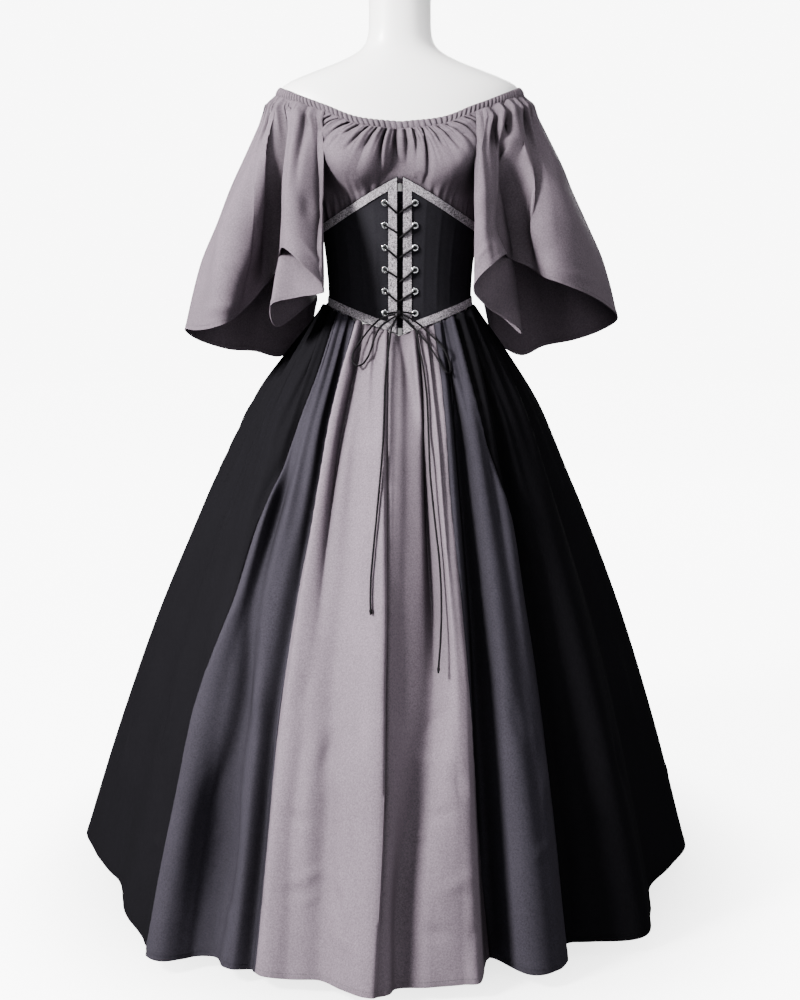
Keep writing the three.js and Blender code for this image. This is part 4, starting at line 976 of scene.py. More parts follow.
SLEEVE_LEFT_CREASES = (
    ((0, 0.8, 8, 2.6, 2), (0.2, 0.6, 12, 3, 7), (0.5, 0.95, 16, 5, 8), (0.8, 1.15, 18, 6, 7),
     (1, 1.6, 20, 8, 2)),
    ((0, 1.3, 3, 4, -3), (0.15, 1.4, 4, 6, -13), (0.3, 2.3, 16, 12, -26), (0.5, 2.9, 28, 16, -42),
     (0.78, 3.3, 38, 20, -42), (1, 3.7, 36, 26, -14)),
    ((0, 1.9, 3, 3, 2), (0.14, 1.9, 3, 3, 7), (0.3, 2.0, 4, 4, 6), (0.5, 2.1, 4, 4, 5), (0.7, 2.2, 5, 5, 0)),
    ((0, 2.5, 3, 3, -3), (0.14, 2.5, 3.5, 3.5, -12), (0.26, 2.7, 6, 6, 0)),
    ((0, 3.0, 3, 5, 2), (0.12, 3.1, 4, 8, 8), (0.22, 3.2, 6, 14, 12), (0.35, 3.6, 8, 24, 18),
     (0.51, 4.1, 10, 30, 26), (0.7, 4.6, 12, 34, 28), (0.9, 5.1, 14, 34, 18), (1, 5.3, 16, 34, 8)),
    ((0, 4.4, 3, 4, -3), (0.12, 4.45, 5, 6, -8), (0.32, 4.7, 8, 8, 0)),
    ((0, 5.6, 4, 5, -3), (0.2, 5.8, 8, 9, -5), (0.5, 6.2, 16, 18, 0)),
    ((0, 7.1, 4, 4, -3), (0.16, 7.2, 7, 7, -5), (0.36, 7.3, 10, 10, 0)),
    ((0, 8.3, 5, 5, -3), (0.34, 8.3, 12, 12, -7), (0.74, 8.4, 20, 20, 0)),
    ((0, 9.6, 4, 4, -3), (0.2, 9.6, 7, 7, -5), (0.44, 9.5, 12, 12, 0)),
    ((0, 10.8, 5, 5, -3), (0.42, 10.8, 14, 16, -9), (0.9, 10.9, 24, 24, -3), (1, 10.9, 24, 24, 0)),
    ((0, 12.1, 4, 4, -3), (0.2, 12.1, 7, 7, -5), (0.48, 12.0, 12, 12, 0)),
    ((0, 13.4, 5, 5, -3), (0.36, 13.2, 12, 12, -8), (0.8, 13.0, 20, 20, 0)),
)
SLEEVE_DENTS = (
    (6.4, 0.62, 22, 60, 8, 5), (5.3, 0.86, 12, 30, -10, -4), (1.2, 0.62, 9, 26, 8, -4),
    (7.6, 0.5, 16, 44, 6, -5), (9.2, 0.76, 20, 40, 0, 5), (12.2, 0.7, 16, 40, -8, -5),
    (0.9, 0.88, 14, 8, 20, 3), (6.2, 0.93, 22, 7, 12, 2.5),
)


def gathers(place, fall, count, seed):
    """How far gathered cloth stands out below the casing: place counts gathers, fall is in mm below it."""
    draw = np.random.default_rng(seed)
    heights, reaches = draw.uniform(0.55, 1.35, count + 3), draw.uniform(22, 64, count + 3)
    turns = draw.normal(0, 0.9, count + 3)
    at = np.clip(place, 0, count) + 1
    index = np.arange(count + 3)
    height, reach, turn = (np.interp(at, index, table) for table in (heights, reaches, turns))
    broad = 2.6 * GATHER * height * np.abs(np.cos(math.pi * place + turn * smooth(fall / 30) / 2)) ** 0.85
    broad = broad * np.exp(-((fall / reach) ** 1.5))
    slim = np.interp(at * 2, np.arange(2 * count + 6), draw.uniform(0.3, 1.4, 2 * count + 6))
    fading = np.exp(-((fall / (13 + 20 * slim)) ** 1.5))
    fine = 4.4 * slim * np.abs(np.cos(2 * math.pi * place + 0.65 * turn)) ** 0.9 * fading
    return broad + fine


def valleys(table, place, fall, spacing):
    """Listed dark valleys: a narrow trough that widens and dies away downwards."""
    total = 0
    for at, lean, top, end, width, depth in table:
        share = np.clip((fall - top) / (end - top), 0, 1)
        wide = width * (0.6 + 0.7 * share)
        fade = smooth((fall - top + 6) / 8) * (1 - share) ** 0.8
        total = total - depth * fade * bell((place - at - lean * share) * spacing / wide)
    return total


def bodice(back):
    columns, rows = (160, 76) if back else (240, 84)
    u = np.linspace(0, 1, columns)[None]
    v = np.concatenate([np.linspace(0, 0.25, 30)[:-1], np.linspace(0.25, 1, rows - 29)])[:, None]
    u, v = np.broadcast_arrays(u, v)
    across = u if back else 1 - u
    deg, z, rim, out = bodice_base(back, across, v)
    fall = np.maximum(neckline_height(deg) - z, 0)
    place = FRONT_GATHERS * across
    lip = corset_top(deg) - z
    puckers = 1.7 * ripple(across * 120, v * 0.5, 21, 7, 1.0)
    puckers = puckers * bell((lip + 4) / (19 + 7 * ripple(across * 30, 0.0, 27, 5)))
    if not back:
        between = bell(deg / 7.5) * bell((z - 1270) / 46)
        cups = bell((folded(deg) - 31) / 14) * bell((z - 1256) / 30)
        puckers = puckers - 13 * between + 8 * cups
    puff = 5.5 * smooth(fall / 14) * smooth((150 - fall) / 80) * smooth(lip / -30)
    swell = 1.2 * ripple(across * 26, v * 5, 22 + back, 10) * smooth(fall / 40)
    soft = puff + swell * smooth((60 + lip) / -40 + 1.6)
    spacing = 17.5
    table = BODICE_VALLEYS
    if back:
        table = [(18 - a, -b, c, d * 0.8, e, f * 0.7) for a, b, c, d, e, f in BODICE_VALLEYS]
    extra = gathers(place, fall, FRONT_GATHERS, 31 + back) * (1 - 0.7 * rim)
    extra = extra + valleys(table, place, fall, spacing)
    extra = extra + puckers + soft
    points = body_point(deg, z, np.maximum(out + extra, 1.6))
    # the top edge runs up behind the casing
    tucked = [body_point(deg[0], z[0] + rise, np.full(columns, depth)) for rise, depth in TUCKED_ROWS]
    points = np.concatenate([np.stack(tucked), points])
    name = "bodice_back" if back else "bodice_front"
    piece = shell(f"{name}_cloth", points, CLOTH, DOVE_SHADED_COPY, [name], centre=np.zeros(3))


def sleeve(name, hem, side, node):
    necks, arms, rows = 236, 76, 66
    top = np.concatenate([np.linspace(0, 1, necks + 1)[:-1], np.linspace(1, 2, arms + 1)[:-1]])[None]
    v = (np.linspace(0, 1, rows) ** 1.12)[:, None]
    top, v = np.broadcast_arrays(top, v)
    point, outward = sleeve_base(hem, top, v)
    start = sleeve_top(top[:1])
    length = np.linalg.norm(point[-1:] - start, axis=-1)
    fall = v * length
    over = smooth((1.02 - top) / 0.05) * smooth((top + 0.02) / 0.04)
    place = SLEEVE_GATHERS * top
    spacing = mix(13.5, 34.0, v)
    folds = creases(SLEEVE_LEFT_CREASES if side > 0 else SLEEVE_RIGHT_CREASES, place, v, spacing)
    push = 1.4 * over * gathers(place, fall, SLEEVE_GATHERS, 41 + side) * (0.25 + 0.75 * smooth(fall / 16))
    point = point + outward * push[..., None]
    relief = 1.5 * ripple(top * 9, v * 4, 51 + side, 10) * smooth(v * 3)
    relief = relief + 0.5 * ripple(top * 40, v * 14, 53 + side, 8) * smooth(v * 2)
    relief = relief + over * np.maximum(folds + dents(SLEEVE_DENTS, place, v, spacing, 330), -3 - 105 * v)
    tucked = [
        np.where(
            (top[0] < 1)[:, None],
            body_point(
                mix(SLEEVE_DEG, 180 - SLEEVE_DEG, np.clip(top[0], 0, 1)),
                neckline_height(mix(SLEEVE_DEG, 180 - SLEEVE_DEG, np.clip(top[0], 0, 1))) + rise,
                depth,
            ),
            point[0] + (0, 0, rise * 0.3),
        )
        for rise, depth in ((3.5, 1.4), (1.6, 2.4))
    ]
    point = np.concatenate([np.stack(tucked), point])
    relief = np.concatenate([np.zeros((2, relief.shape[1])), relief])
    point = point * (side, 1, 1)
    to_hem = length - fall
    relief[2:] -= 0.6 * bell((to_hem - 9) / 1.4) * smooth(to_hem / 4)
    thick = np.concatenate([np.full((2, point.shape[1]), CLOTH), CLOTH + 0.8 * smooth((10 - to_hem) / 1.4)])
    middle = point.mean(axis=1, keepdims=True)
    piece = shell(name, point, thick, DOVE_SHADED_COPY, [node], ring=True, relief=relief, centre=middle)
    surface, normals = raised(point, relief, True, middle)
    row = 2 + int(np.argmin(np.abs(to_hem.mean(axis=1) - 8)))
    for face in (1, -1):
        path, up = stitched_row(surface, normals * face, row, CLOTH / 2 + 0.5)
        SLEEVE_HEM_ROWS.append((np.concatenate([path, path[:1]]), np.concatenate([up, up[:1]])))


SLEEVE_HEM_ROWS = []
casing()
bodice(False)
bodice(True)
sleeve("sleeve_left_cloth", SLEEVE_LEFT_HEM, 1, "sleeve_left")
sleeve("sleeve_right_cloth", SLEEVE_RIGHT_HEM, -1, "sleeve_right")
stitches("sleeve_hem_stitches", SLEEVE_HEM_ROWS, DOVE_THREAD)


# Skirt. The seams between the panels, in fold lines, from the wearer's right side round the front:
# drop, place
SIDE_BACK_RIGHT = ((0, -2.5), (1, -2.5))
BLACK_CHARCOAL_RIGHT = (
    (0, 9.5), (0.12, 9.48), (0.24, 8.5), (0.33, 7.65), (0.46, 7.35), (0.56, 6.85), (0.7, 6.5), (1, 6.4),
)
CHARCOAL_DOVE_RIGHT = (
    (0, 12.95), (0.1, 12.6), (0.2, 12.3), (0.3, 11.98), (0.44, 11.5), (0.6, 11.28), (1, 11.3),
)
CENTRE_FRONT = (
    (0, 15.45), (0.08, 15.68), (0.18, 15.88), (0.42, 16.12), (0.56, 16.18), (0.71, 16.22),
    (0.86, 16.15), (1, 16.05),
)
DOVE_CHARCOAL_LEFT = (
    (0, 19.45), (0.06, 19.55), (0.18, 19.58), (0.28, 19.58), (0.43, 19.85), (0.58, 20.1), (0.74, 20.55),
    (0.9, 20.9), (1, 21.0),
)
CHARCOAL_BLACK_LEFT = (
    (0, 22.7), (0.1, 22.65), (0.2, 23.15), (0.33, 24.4), (0.46, 25.05), (0.7, 25.1), (1, 25.05),
)
SIDE_BACK_LEFT = ((0, 34.5), (1, 34.5))
CENTRE_BACK = ((0, 43), (1, 43))
LAST_SEAM = ((0, 50.5), (1, 50.5))
SEAMS = (
    SIDE_BACK_RIGHT, BLACK_CHARCOAL_RIGHT, CHARCOAL_DOVE_RIGHT, CENTRE_FRONT, DOVE_CHARCOAL_LEFT,
    CHARCOAL_BLACK_LEFT, SIDE_BACK_LEFT, CENTRE_BACK, LAST_SEAM,
)
PANELS = (
    ("skirt_side_right", 0, BLACK, "black", 8), ("skirt_gore_right", 1, CHARCOAL, "charcoal", 13),
    ("skirt_front_right", 2, DOVE, "dove", 17), ("skirt_front_left", 3, DOVE, "dove", 17),
    ("skirt_gore_left", 4, CHARCOAL, "charcoal", 13), ("skirt_side_left", 5, BLACK, "black", 8),
    ("skirt_back_left", 6, BLACK, "black", 8), ("skirt_back_right", 7, BLACK, "black", 8),
)
SKIRT_LENGTH = 1095
# Long folds: drop, place in fold lines,
# width before and after the crest in mm, height in mm
FRONT_CREASES = (
    ((0, 15.35, 9, 1.8, 3), (0.1, 15.6, 16, 2, 5), (0.4, 16.0, 26, 2.5, 9), (0.56, 16.08, 30, 2.5, 11),
     (0.71, 16.12, 34, 3, 12), (0.86, 16.05, 36, 4, 12), (1, 15.95, 36, 5, 11)),
    ((0, 16.3, 4, 9, -2), (0.06, 17.0, 10, 12, -6), (0.2, 17.9, 26, 12, -14), (0.42, 18.4, 50, 12, -24),
     (0.56, 18.2, 50, 26, -26), (0.71, 17.5, 28, 34, -28), (0.86, 17.0, 18, 34, -26),
     (1, 16.9, 14, 34, -22)),
    ((0, 17.6, 3, 3, -3), (0.05, 17.9, 5, 3, -9), (0.11, 18.1, 7, 3.5, -13), (0.27, 18.3, 10, 5, -14),
     (0.43, 18.5, 14, 7, -8), (0.55, 18.6, 16, 10, 0)),
    ((0, 18.4, 3, 5, 4), (0.06, 18.55, 3, 6, 6), (0.18, 18.8, 4, 7, 8), (0.28, 18.9, 5, 8, 10),
     (0.43, 19.15, 8, 10, 11), (0.58, 19.2, 14, 14, 10), (0.72, 19.1, 24, 22, 7), (1, 19.3, 30, 26, 4)),
    ((0, 17.55, 6, 2, 4), (0.06, 17.7, 9, 3, 4.5), (0.16, 17.9, 14, 7, 0)),
    ((0, 13.15, 2.2, 8, 4), (0.1, 12.75, 2.6, 10, 6), (0.29, 12.34, 4, 14, 8), (0.44, 12.0, 5, 18, 9),
     (0.6, 11.8, 7, 22, 9), (0.75, 11.78, 8, 24, 8), (1, 11.9, 10, 28, 6)),
    ((0, 12.6, 6, 2.5, -2), (0.1, 12.2, 9, 3, -7), (0.29, 11.75, 10, 4, -12), (0.44, 11.15, 16, 5, -15),
     (0.6, 10.9, 12, 5, -12), (0.8, 10.95, 12, 6, -15), (1, 10.95, 12, 6, -14)),
    ((0, 13.5, 3, 3, -3), (0.05, 13.5, 4, 6, -9), (0.12, 13.4, 6, 9, -15), (0.28, 13.08, 9, 12, -14),
     (0.44, 13.1, 14, 18, -8), (0.6, 13.0, 18, 22, -6), (0.75, 12.7, 16, 20, -8), (0.9, 12.9, 18, 30, -11),
     (1, 12.95, 18, 30, -10)),
    ((0, 14.2, 6, 2.4, 4), (0.07, 14.4, 10, 5, 4), (0.2, 14.6, 18, 12, 0)),
    ((0, 10.9, 7, 2, 5), (0.1, 10.85, 10, 2.6, 7), (0.3, 10.0, 16, 8, 8), (0.45, 9.5, 20, 12, 8),
     (0.6, 10.1, 18, 10, 5), (0.77, 10.2, 26, 10, 8), (0.92, 10.3, 28, 9, 9), (1, 10.3, 28, 9, 8)),
    ((0, 11.7, 6, 2, 4), (0.09, 11.6, 8, 2.6, 6), (0.2, 11.3, 12, 5, 4), (0.3, 11.2, 16, 9, 0)),
    ((0, 9.75, 3, 8, 5), (0.12, 9.72, 4, 12, 7), (0.24, 8.8, 6, 16, 8), (0.31, 7.95, 7, 12, 9),
     (0.46, 7.6, 9, 16, 9), (0.62, 6.9, 12, 34, 9), (0.77, 6.9, 14, 22, 9), (0.92, 6.8, 14, 26, 8),
     (1, 6.8, 14, 26, 6)),
    ((0.14, 9.2, 6, 6, 0), (0.3, 8.76, 14, 12, -10), (0.46, 8.3, 12, 12, -7), (0.62, 9.1, 26, 14, -6),
     (0.77, 8.3, 24, 34, -11), (0.92, 8.4, 24, 30, -14), (1, 8.4, 24, 30, -13)),
    ((0, 20.6, 5, 2.2, 4), (0.08, 20.9, 8, 3, 6), (0.2, 21.1, 14, 8, 0)),
    ((0, 21.3, 7, 2.4, 5), (0.1, 21.6, 10, 4, 7), (0.22, 21.95, 16, 9, 5), (0.36, 22.2, 26, 18, 0)),
    ((0, 22.2, 6, 2.4, 4), (0.1, 22.4, 8, 3, 5), (0.2, 22.8, 14, 6, 4), (0.32, 23.4, 20, 12, 0)),
    ((0.2, 23.0, 9, 3, 2), (0.33, 24.1, 16, 4, 6), (0.5, 24.75, 24, 6, 7), (0.8, 24.8, 30, 8, 5),
     (1, 24.8, 34, 10, 4)),
    ((0.4, 23.1, 20, 20, 0), (0.6, 23.2, 26, 22, -6), (0.86, 23.4, 30, 24, -5), (1, 23.4, 30, 24, -3)),
)
SIDE_CREASES = (
    ((0, 8.8, 8, 2.2, 5), (0.12, 8.6, 12, 4, 6), (0.34, 6.9, 22, 12, 0)),
    ((0, 8.05, 7, 2.2, 4.5), (0.1, 7.7, 11, 4, 5), (0.25, 6.7, 20, 12, 0)),
    ((0, 7.0, 8, 2.4, 5), (0.16, 6.5, 14, 5, 7), (0.5, 5.6, 30, 18, 0)),
    ((0, 6.0, 7, 2.4, 5), (0.1, 5.7, 12, 4, 5), (0.3, 5.1, 22, 12, 0)),
    ((0, 5.05, 8, 2.4, 5), (0.2, 4.5, 16, 6, 7), (0.58, 4.1, 32, 20, 0)),
    ((0, 4.0, 7, 2.4, 4), (0.09, 3.8, 11, 4, 5), (0.22, 3.5, 18, 12, 0)),
    ((0, 3.1, 8, 2.4, 5), (0.14, 2.9, 14, 5, 6), (0.42, 2.6, 28, 16, 0)),
    ((0, 2.05, 7, 2.4, 5), (0.1, 1.95, 12, 4, 5), (0.28, 1.8, 20, 12, 0)),
    ((0, 1.0, 8, 2.6, 5), (0.2, 0.9, 16, 6, 7), (0.6, 0.7, 34, 22, 0)),
    ((0, 0.1, 7, 2.4, 4), (0.08, 0.05, 11, 4, 5), (0.2, 0, 18, 12, 0)),
    ((0, -0.95, 8, 2.4, 5), (0.15, -1, 14, 5, 6), (0.45, -1.1, 30, 18, 0)),
    ((0, 24.1, 7, 2.4, 4), (0.1, 24.5, 11, 4, 6), (0.24, 25.3, 20, 12, 0)),
    ((0, 25.2, 8, 2.4, 5), (0.16, 25.8, 14, 5, 7), (0.5, 26.5, 30, 18, 0)),
    ((0, 26.3, 7, 2.4, 5), (0.1, 26.5, 12, 4, 5), (0.28, 26.9, 22, 12, 0)),
    ((0, 27.3, 8, 2.4, 5), (0.2, 27.6, 16, 6, 7), (0.6, 27.9, 34, 20, 0)),
    ((0, 28.4, 7, 2.4, 4), (0.1, 28.6, 11, 4, 5), (0.25, 28.8, 20, 12, 0)),
    ((0, 29.4, 8, 2.6, 5), (0.15, 29.5, 14, 5, 6), (0.4, 29.7, 28, 16, 0)),
    ((0, 30.6, 7, 2.4, 5), (0.1, 30.7, 12, 4, 5), (0.3, 30.8, 22, 14, 0)),
    ((0, 31.6, 8, 2.4, 5), (0.22, 31.6, 16, 6, 7), (0.55, 31.7, 34, 22, 0)),
    ((0, 32.6, 7, 2.4, 4), (0.09, 32.6, 11, 4, 5), (0.22, 32.7, 18, 12, 0)),
    ((0, 33.6, 8, 2.4, 5), (0.14, 33.5, 14, 5, 6), (0.42, 33.4, 28, 18, 0)),
)
BACK_CREASES = (
    ((0, 35.3, 7, 2.4, 5), (0.12, 35.2, 12, 4, 6), (0.38, 35.0, 26, 14, 0)),
    ((0, 36.2, 8, 2.6, 4), (0.2, 36.1, 16, 6, 6), (0.62, 36.0, 34, 22, 0)),
    ((0, 37.0, 7, 2.4, 5), (0.1, 37.0, 12, 4, 5), (0.26, 37.1, 20, 12, 0)),
    ((0, 38.1, 8, 2.4, 5), (0.16, 38.0, 14, 5, 7), (0.5, 37.9, 30, 18, 0)),
    ((0, 39.0, 7, 2.4, 4), (0.1, 39.1, 11, 4, 5), (0.3, 39.3, 22, 12, 0)),
    ((0, 40.2, 8, 2.6, 5), (0.2, 40.1, 16, 6, 6), (0.56, 40.0, 34, 20, 0)),
    ((0, 41.0, 7, 2.4, 5), (0.08, 41.1, 11, 4, 5), (0.24, 41.2, 20, 12, 0)),
    ((0, 42.0, 8, 2.4, 5), (0.14, 42.1, 14, 5, 7), (0.46, 42.2, 30, 16, 0)),
    ((0, 43.9, 2.6, 8, 5), (0.16, 43.8, 5, 14, 6), (0.5, 43.7, 18, 30, 0)),
    ((0, 44.8, 2.4, 7, 4), (0.1, 44.7, 4, 12, 5), (0.26, 44.6, 12, 20, 0)),
    ((0, 45.9, 2.6, 8, 5), (0.22, 45.9, 6, 16, 7), (0.64, 46.0, 22, 34, 0)),
    ((0, 46.8, 2.4, 7, 5), (0.1, 46.9, 4, 11, 5), (0.3, 47.0, 12, 22, 0)),
    ((0, 47.8, 2.6, 8, 4), (0.15, 47.9, 5, 14, 6), (0.44, 48.0, 16, 30, 0)),
    ((0, 48.9, 2.4, 7, 5), (0.1, 48.9, 4, 12, 5), (0.24, 48.8, 12, 20, 0)),
    ((0, 49.8, 2.4, 7, 5), (0.2, 49.7, 6, 16, 6), (0.5, 49.6, 18, 32, 0)),
)
# Short creases: place in fold lines, drop, half length and half width in mm,
# lean in degrees, height in mm
SKIRT_DENTS = (
    (8.85, 0.83, 40, 130, 8, -20), (8.3, 0.823, 15, 1.7, 20, 2.4), (9.0, 0.808, 13, 1.6, 14, 2.2),
    (8.0, 0.845, 9, 2, 30, 1.4), (13.9, 0.66, 12, 32, -14, -3.5), (14.4, 0.7, 12, 26, 10, 3),
    (13.5, 0.845, 24, 7, 24, 3), (12.9, 0.87, 20, 6, 8, -3), (13.6, 0.88, 16, 4, 30, 2.2),
    (13.0, 0.76, 26, 9, -12, -3), (14.6, 0.87, 12, 24, 20, -3.5), (15.1, 0.62, 12, 34, 6, -3),
    (12.6, 0.58, 14, 40, -10, -3), (14.9, 0.93, 22, 8, -20, 2.6), (18.4, 0.6, 20, 6, 34, -3.6),
    (17.9, 0.66, 24, 7, -18, 3), (18.4, 0.745, 22, 6, 12, -3), (17.5, 0.77, 18, 5, -10, 2.4),
    (19.1, 0.7, 12, 26, 16, -4), (18.9, 0.85, 26, 8, 20, 3), (18.1, 0.92, 22, 9, -14, -3),
    (19.6, 0.93, 10, 22, 0, -3), (22.3, 0.62, 12, 34, 10, -4), (22.9, 0.82, 20, 8, 22, 2.6),
    (23.9, 0.72, 12, 36, -8, 4), (9.9, 0.6, 12, 40, 10, 4), (9.5, 0.93, 20, 8, 14, 2.6),
    (4.6, 0.7, 14, 50, 8, -5), (2.2, 0.82, 16, 44, -8, 5), (5.8, 0.86, 24, 9, 16, 3),
    (27.6, 0.74, 14, 48, 8, -5), (29.8, 0.66, 16, 52, -6, 5), (31.2, 0.86, 24, 9, -14, 3),
    (37.2, 0.72, 14, 46, 6, -5), (40.4, 0.8, 16, 40, -8, 5), (44.8, 0.7, 15, 50, 8, -5),
    (47.6, 0.84, 22, 9, 14, 3), (49.3, 0.64, 14, 44, -6, 4),
)
HEM_ALLOWANCE = 13
FRONT_CLOTH = []


def skirt_relief(fold, drop, scale, to_hem):
    soft = 2.4 * ripple(fold * 1.1, drop * 5, 61, 12) * smooth(drop * 4)
    fine = 0.7 * ripple(fold * 4.2, drop * 13, 62, 12) * smooth(drop * 3)
    folds = creases((*FRONT_CREASES, *SIDE_CREASES, *BACK_CREASES), fold, drop, scale)
    short = dents(SKIRT_DENTS, fold, drop, scale, SKIRT_LENGTH)
    total = soft + fine + folds + short
    for k, seam in enumerate(SEAMS):
        away = np.abs(fold - curve(seam, drop, 1)) * scale
        pucker = 0.45 * np.sin(drop * 760 + 3 * ripple(drop * 60, 0.0, 64 + k, 5)) * bell((away - 5) / 5)
        total = total - 1.3 * bell(away / 1.7) + 0.8 * bell((away - 6) / 3.4) + pucker
    fine = 0.35 * ripple(fold * 9, drop * 3, 63, 8, 1.0) * bell(to_hem / 10)
    return total - 0.7 * bell((to_hem - HEM_ALLOWANCE) / 1.4) + fine


def skirt_panel(name, first, material, slot, density):
    near_seam, far_seam = SEAMS[first], SEAMS[first + 1]
    mean_span = (far_seam[0][1] + far_seam[-1][1] - near_seam[0][1] - near_seam[-1][1]) / 2
    columns, rows = int(mean_span * density) + 1, SKIRT_ROWS
    v = np.linspace(0, 1, rows)[:, None]
    drop = v**1.25
    gap = 0.04 / mix(11, 30, v)
    step = 1 / (columns - 1)
    u = np.concatenate([[-step], np.linspace(0, 1, columns), [1 + step]])[None]
    fold = mix(curve(SEAMS[first], drop, 1) + gap, curve(SEAMS[first + 1], drop, 1) - gap, u)
    drop = np.broadcast_to(drop, fold.shape)
    points = skirt_base(fold, drop)
    scale = np.linalg.norm(skirt_base(fold + 0.05, drop) - skirt_base(fold - 0.05, drop), axis=-1) * 10
    to_hem = (points[..., 2] - HEM_HEIGHT) * 1.12
    relief = skirt_relief(fold, drop, scale, to_hem)
    thick = CLOTH + 0.7 * smooth((HEM_ALLOWANCE + 0.6 - to_hem) / 1.2)
    middle = np.zeros(3)
    piece = shell(
        f"{name}_cloth", points, thick[:, 1:-1], material, [name], relief=relief, centre=middle, spare=1
    )
    points, normals = raised(points, relief, centre=middle, spare=1)
    outer = points + normals * CLOTH / 2
    if slot != "black":
        FRONT_CLOTH.append(outer.reshape(-1, 3))
    row = int(np.argmin(np.abs(to_hem[:, 0] - (HEM_ALLOWANCE - 1.5))))
    HEM_ROWS.append((slot, stitched_row(points, normals, row, CLOTH / 2 + 0.45)))
    hem = float(distance_along(points[-1])[-1])
    waist = float(distance_along(points[0])[-1])
    length = float(np.linalg.norm(np.diff(points[::12], axis=0), axis=-1).sum(0).mean())
    return piece, waist, hem, length


HEM_ROWS = []
for panel_name, first_seam, panel_cloth, panel_slot, panel_density in PANELS:
    panel, waist, hem, length = skirt_panel(panel_name, first_seam, panel_cloth, panel_slot, panel_density)
for thread_slot, thread in (("dove", DOVE_THREAD), ("charcoal", DARK_THREAD), ("black", BLACK_THREAD)):
    rows = [row for slot, row in HEM_ROWS if slot == thread_slot]
    stitches(f"hem_stitches_{thread_slot}", rows, thread)


# Corset, braid and eyelets
def corset_height(deg, band):
    """Height on the corset: band is 0 at the top edge, 1 below the top braid,
    2 above the bottom one and 3 at the bottom."""
    top, bottom = corset_top(deg), corset_bottom(deg)
    middle = mix(top - TRIM_BAND, bottom + TRIM_BAND, band - 1)
    lower = np.where(band >= 2, bottom + TRIM_BAND * (3 - band), middle)
    return np.where(band <= 1, top - TRIM_BAND * band, lower)


def corset_grid(edge_x, end_deg, columns, band, out):
    """A grid over the corset's front on the wearer's left from a distance off the middle to an angle."""
    share = np.linspace(0, 1, columns)[None]
    band = np.asarray(band, float)[:, None]
    z = corset_height(10 + 60 * share, band)
    for _ in range(3):
        near = degrees_at(edge_x, z, CORSET_OUT)
        deg = mix(near, end_deg, share)
        z = corset_height(deg, band)
    return body_point(deg, z, out)


def bands(*parts):
    """Places down the corset, from (start, end, count) for each part."""
    made = [np.linspace(a, b, n, endpoint=False) for a, b, n in parts]
    return np.concatenate([*made, [parts[-1][1]]])


def boned(arc, points, places, seed):
    """Ridges of the bones under the corset's cloth, with its slight unevenness."""
    bones = sum(0.5 * bell((arc - place) / 3.4) for place in places)
    inside = np.sin(math.pi * np.linspace(0, 1, len(points)))[:, None] ** 0.3
    return bones[None] * inside + 0.25 * ripple(arc[None] * 0.05, points[..., 2] * 0.05, seed, 8)


def corset_front(side, name):
    band = bands((0, 1, 5), (1, 2, 56), (2, 3, 5))
    columns = 104
    points = corset_grid(FRONT_GAP, CORSET_SIDE_DEG - SIDE_GAP_DEG, columns, band, CORSET_OUT)
    arc = distance_along(points[len(band) // 2])
    relief = boned(arc, points, (37, 62, 88, 114, 141), 71 + side)
    middle = (points[1:, 1:] + points[:-1, :-1]) / 2
    keep = np.ones(middle.shape[:2], bool)
    for z in EYELET_HEIGHTS:
        keep &= np.hypot(middle[..., 0] - EYELET_X, middle[..., 2] - z) > EYELET_HOLE + 0.6
    points = points * (side, 1, 1)
    piece = shell(
        f"corset_{name}_cloth", points, CORSET_CLOTH, CORSET_BLACK, [f"corset_{name}"],
        relief=relief, keep=keep, centre=np.zeros(3),
    )


def corset_back():
    band = bands((0, 1, 4), (1, 2, 44), (2, 3, 4))[:, None]
    share = np.linspace(0, 1, 150)[None]
    deg = mix(CORSET_SIDE_DEG + SIDE_GAP_DEG, 360 - CORSET_SIDE_DEG - SIDE_GAP_DEG, share)
    points = body_point(deg, corset_height(deg, band), CORSET_OUT)
    arc = distance_along(points[26])
    places = [arc[-1] * share for share in (0.12, 0.28, 0.42, 0.58, 0.72, 0.88)]
    relief = boned(arc, points, places, 74)
    piece = shell(
        "corset_back_cloth", points, CORSET_CLOTH, CORSET_BLACK, ["corset_back"],
        relief=relief, centre=np.zeros(3),
    )


def modesty_panel():
    z = np.linspace(1228, 1000, 60)[:, None]
    x = np.linspace(17, -17, 14)[None]
    points = body_point(degrees_at(x, z, 0), np.broadcast_to(z, (60, 14)), MODESTY_OUT)
    piece = shell(
        "modesty_panel_cloth", points, MODESTY_CLOTH, CORSET_BLACK, ["corset_modesty_panel"],
        centre=np.zeros(3),
    )


def braid_relief(along, across, width):
    """The plait of the braid: strands that lean towards each other, and a corded rib down both edges."""
    half = np.abs(across - width / 2)
    plait = 0.5 + 0.5 * np.cos(2 * math.pi * (along / 3.3 + half / 5.2))
    rib = bell((half - width / 2 + 1.2) / 0.9)
    return 0.42 * plait * (1 - rib) + 0.3 * rib * (0.6 + 0.4 * np.cos(2 * math.pi * along / 1.65))


def braid(name, points, node, across_rows):
    """A braid on a grid of points. across_rows says whether its width runs down the rows."""
    if across_rows:
        line = points[len(points) // 2]
        along = distance_along(line)[None]
        across = np.linspace(0, TRIM_WIDTH, len(points))[:, None]
    else:
        line = points[:, points.shape[1] // 2]
        along = distance_along(line)[:, None]
        across = np.linspace(0, TRIM_WIDTH, points.shape[1])[None]
    relief = braid_relief(along, across, TRIM_WIDTH)
    shell(name, points, TRIM_WALL - 0.4, BRAID, [node], relief=relief, centre=np.zeros(3))


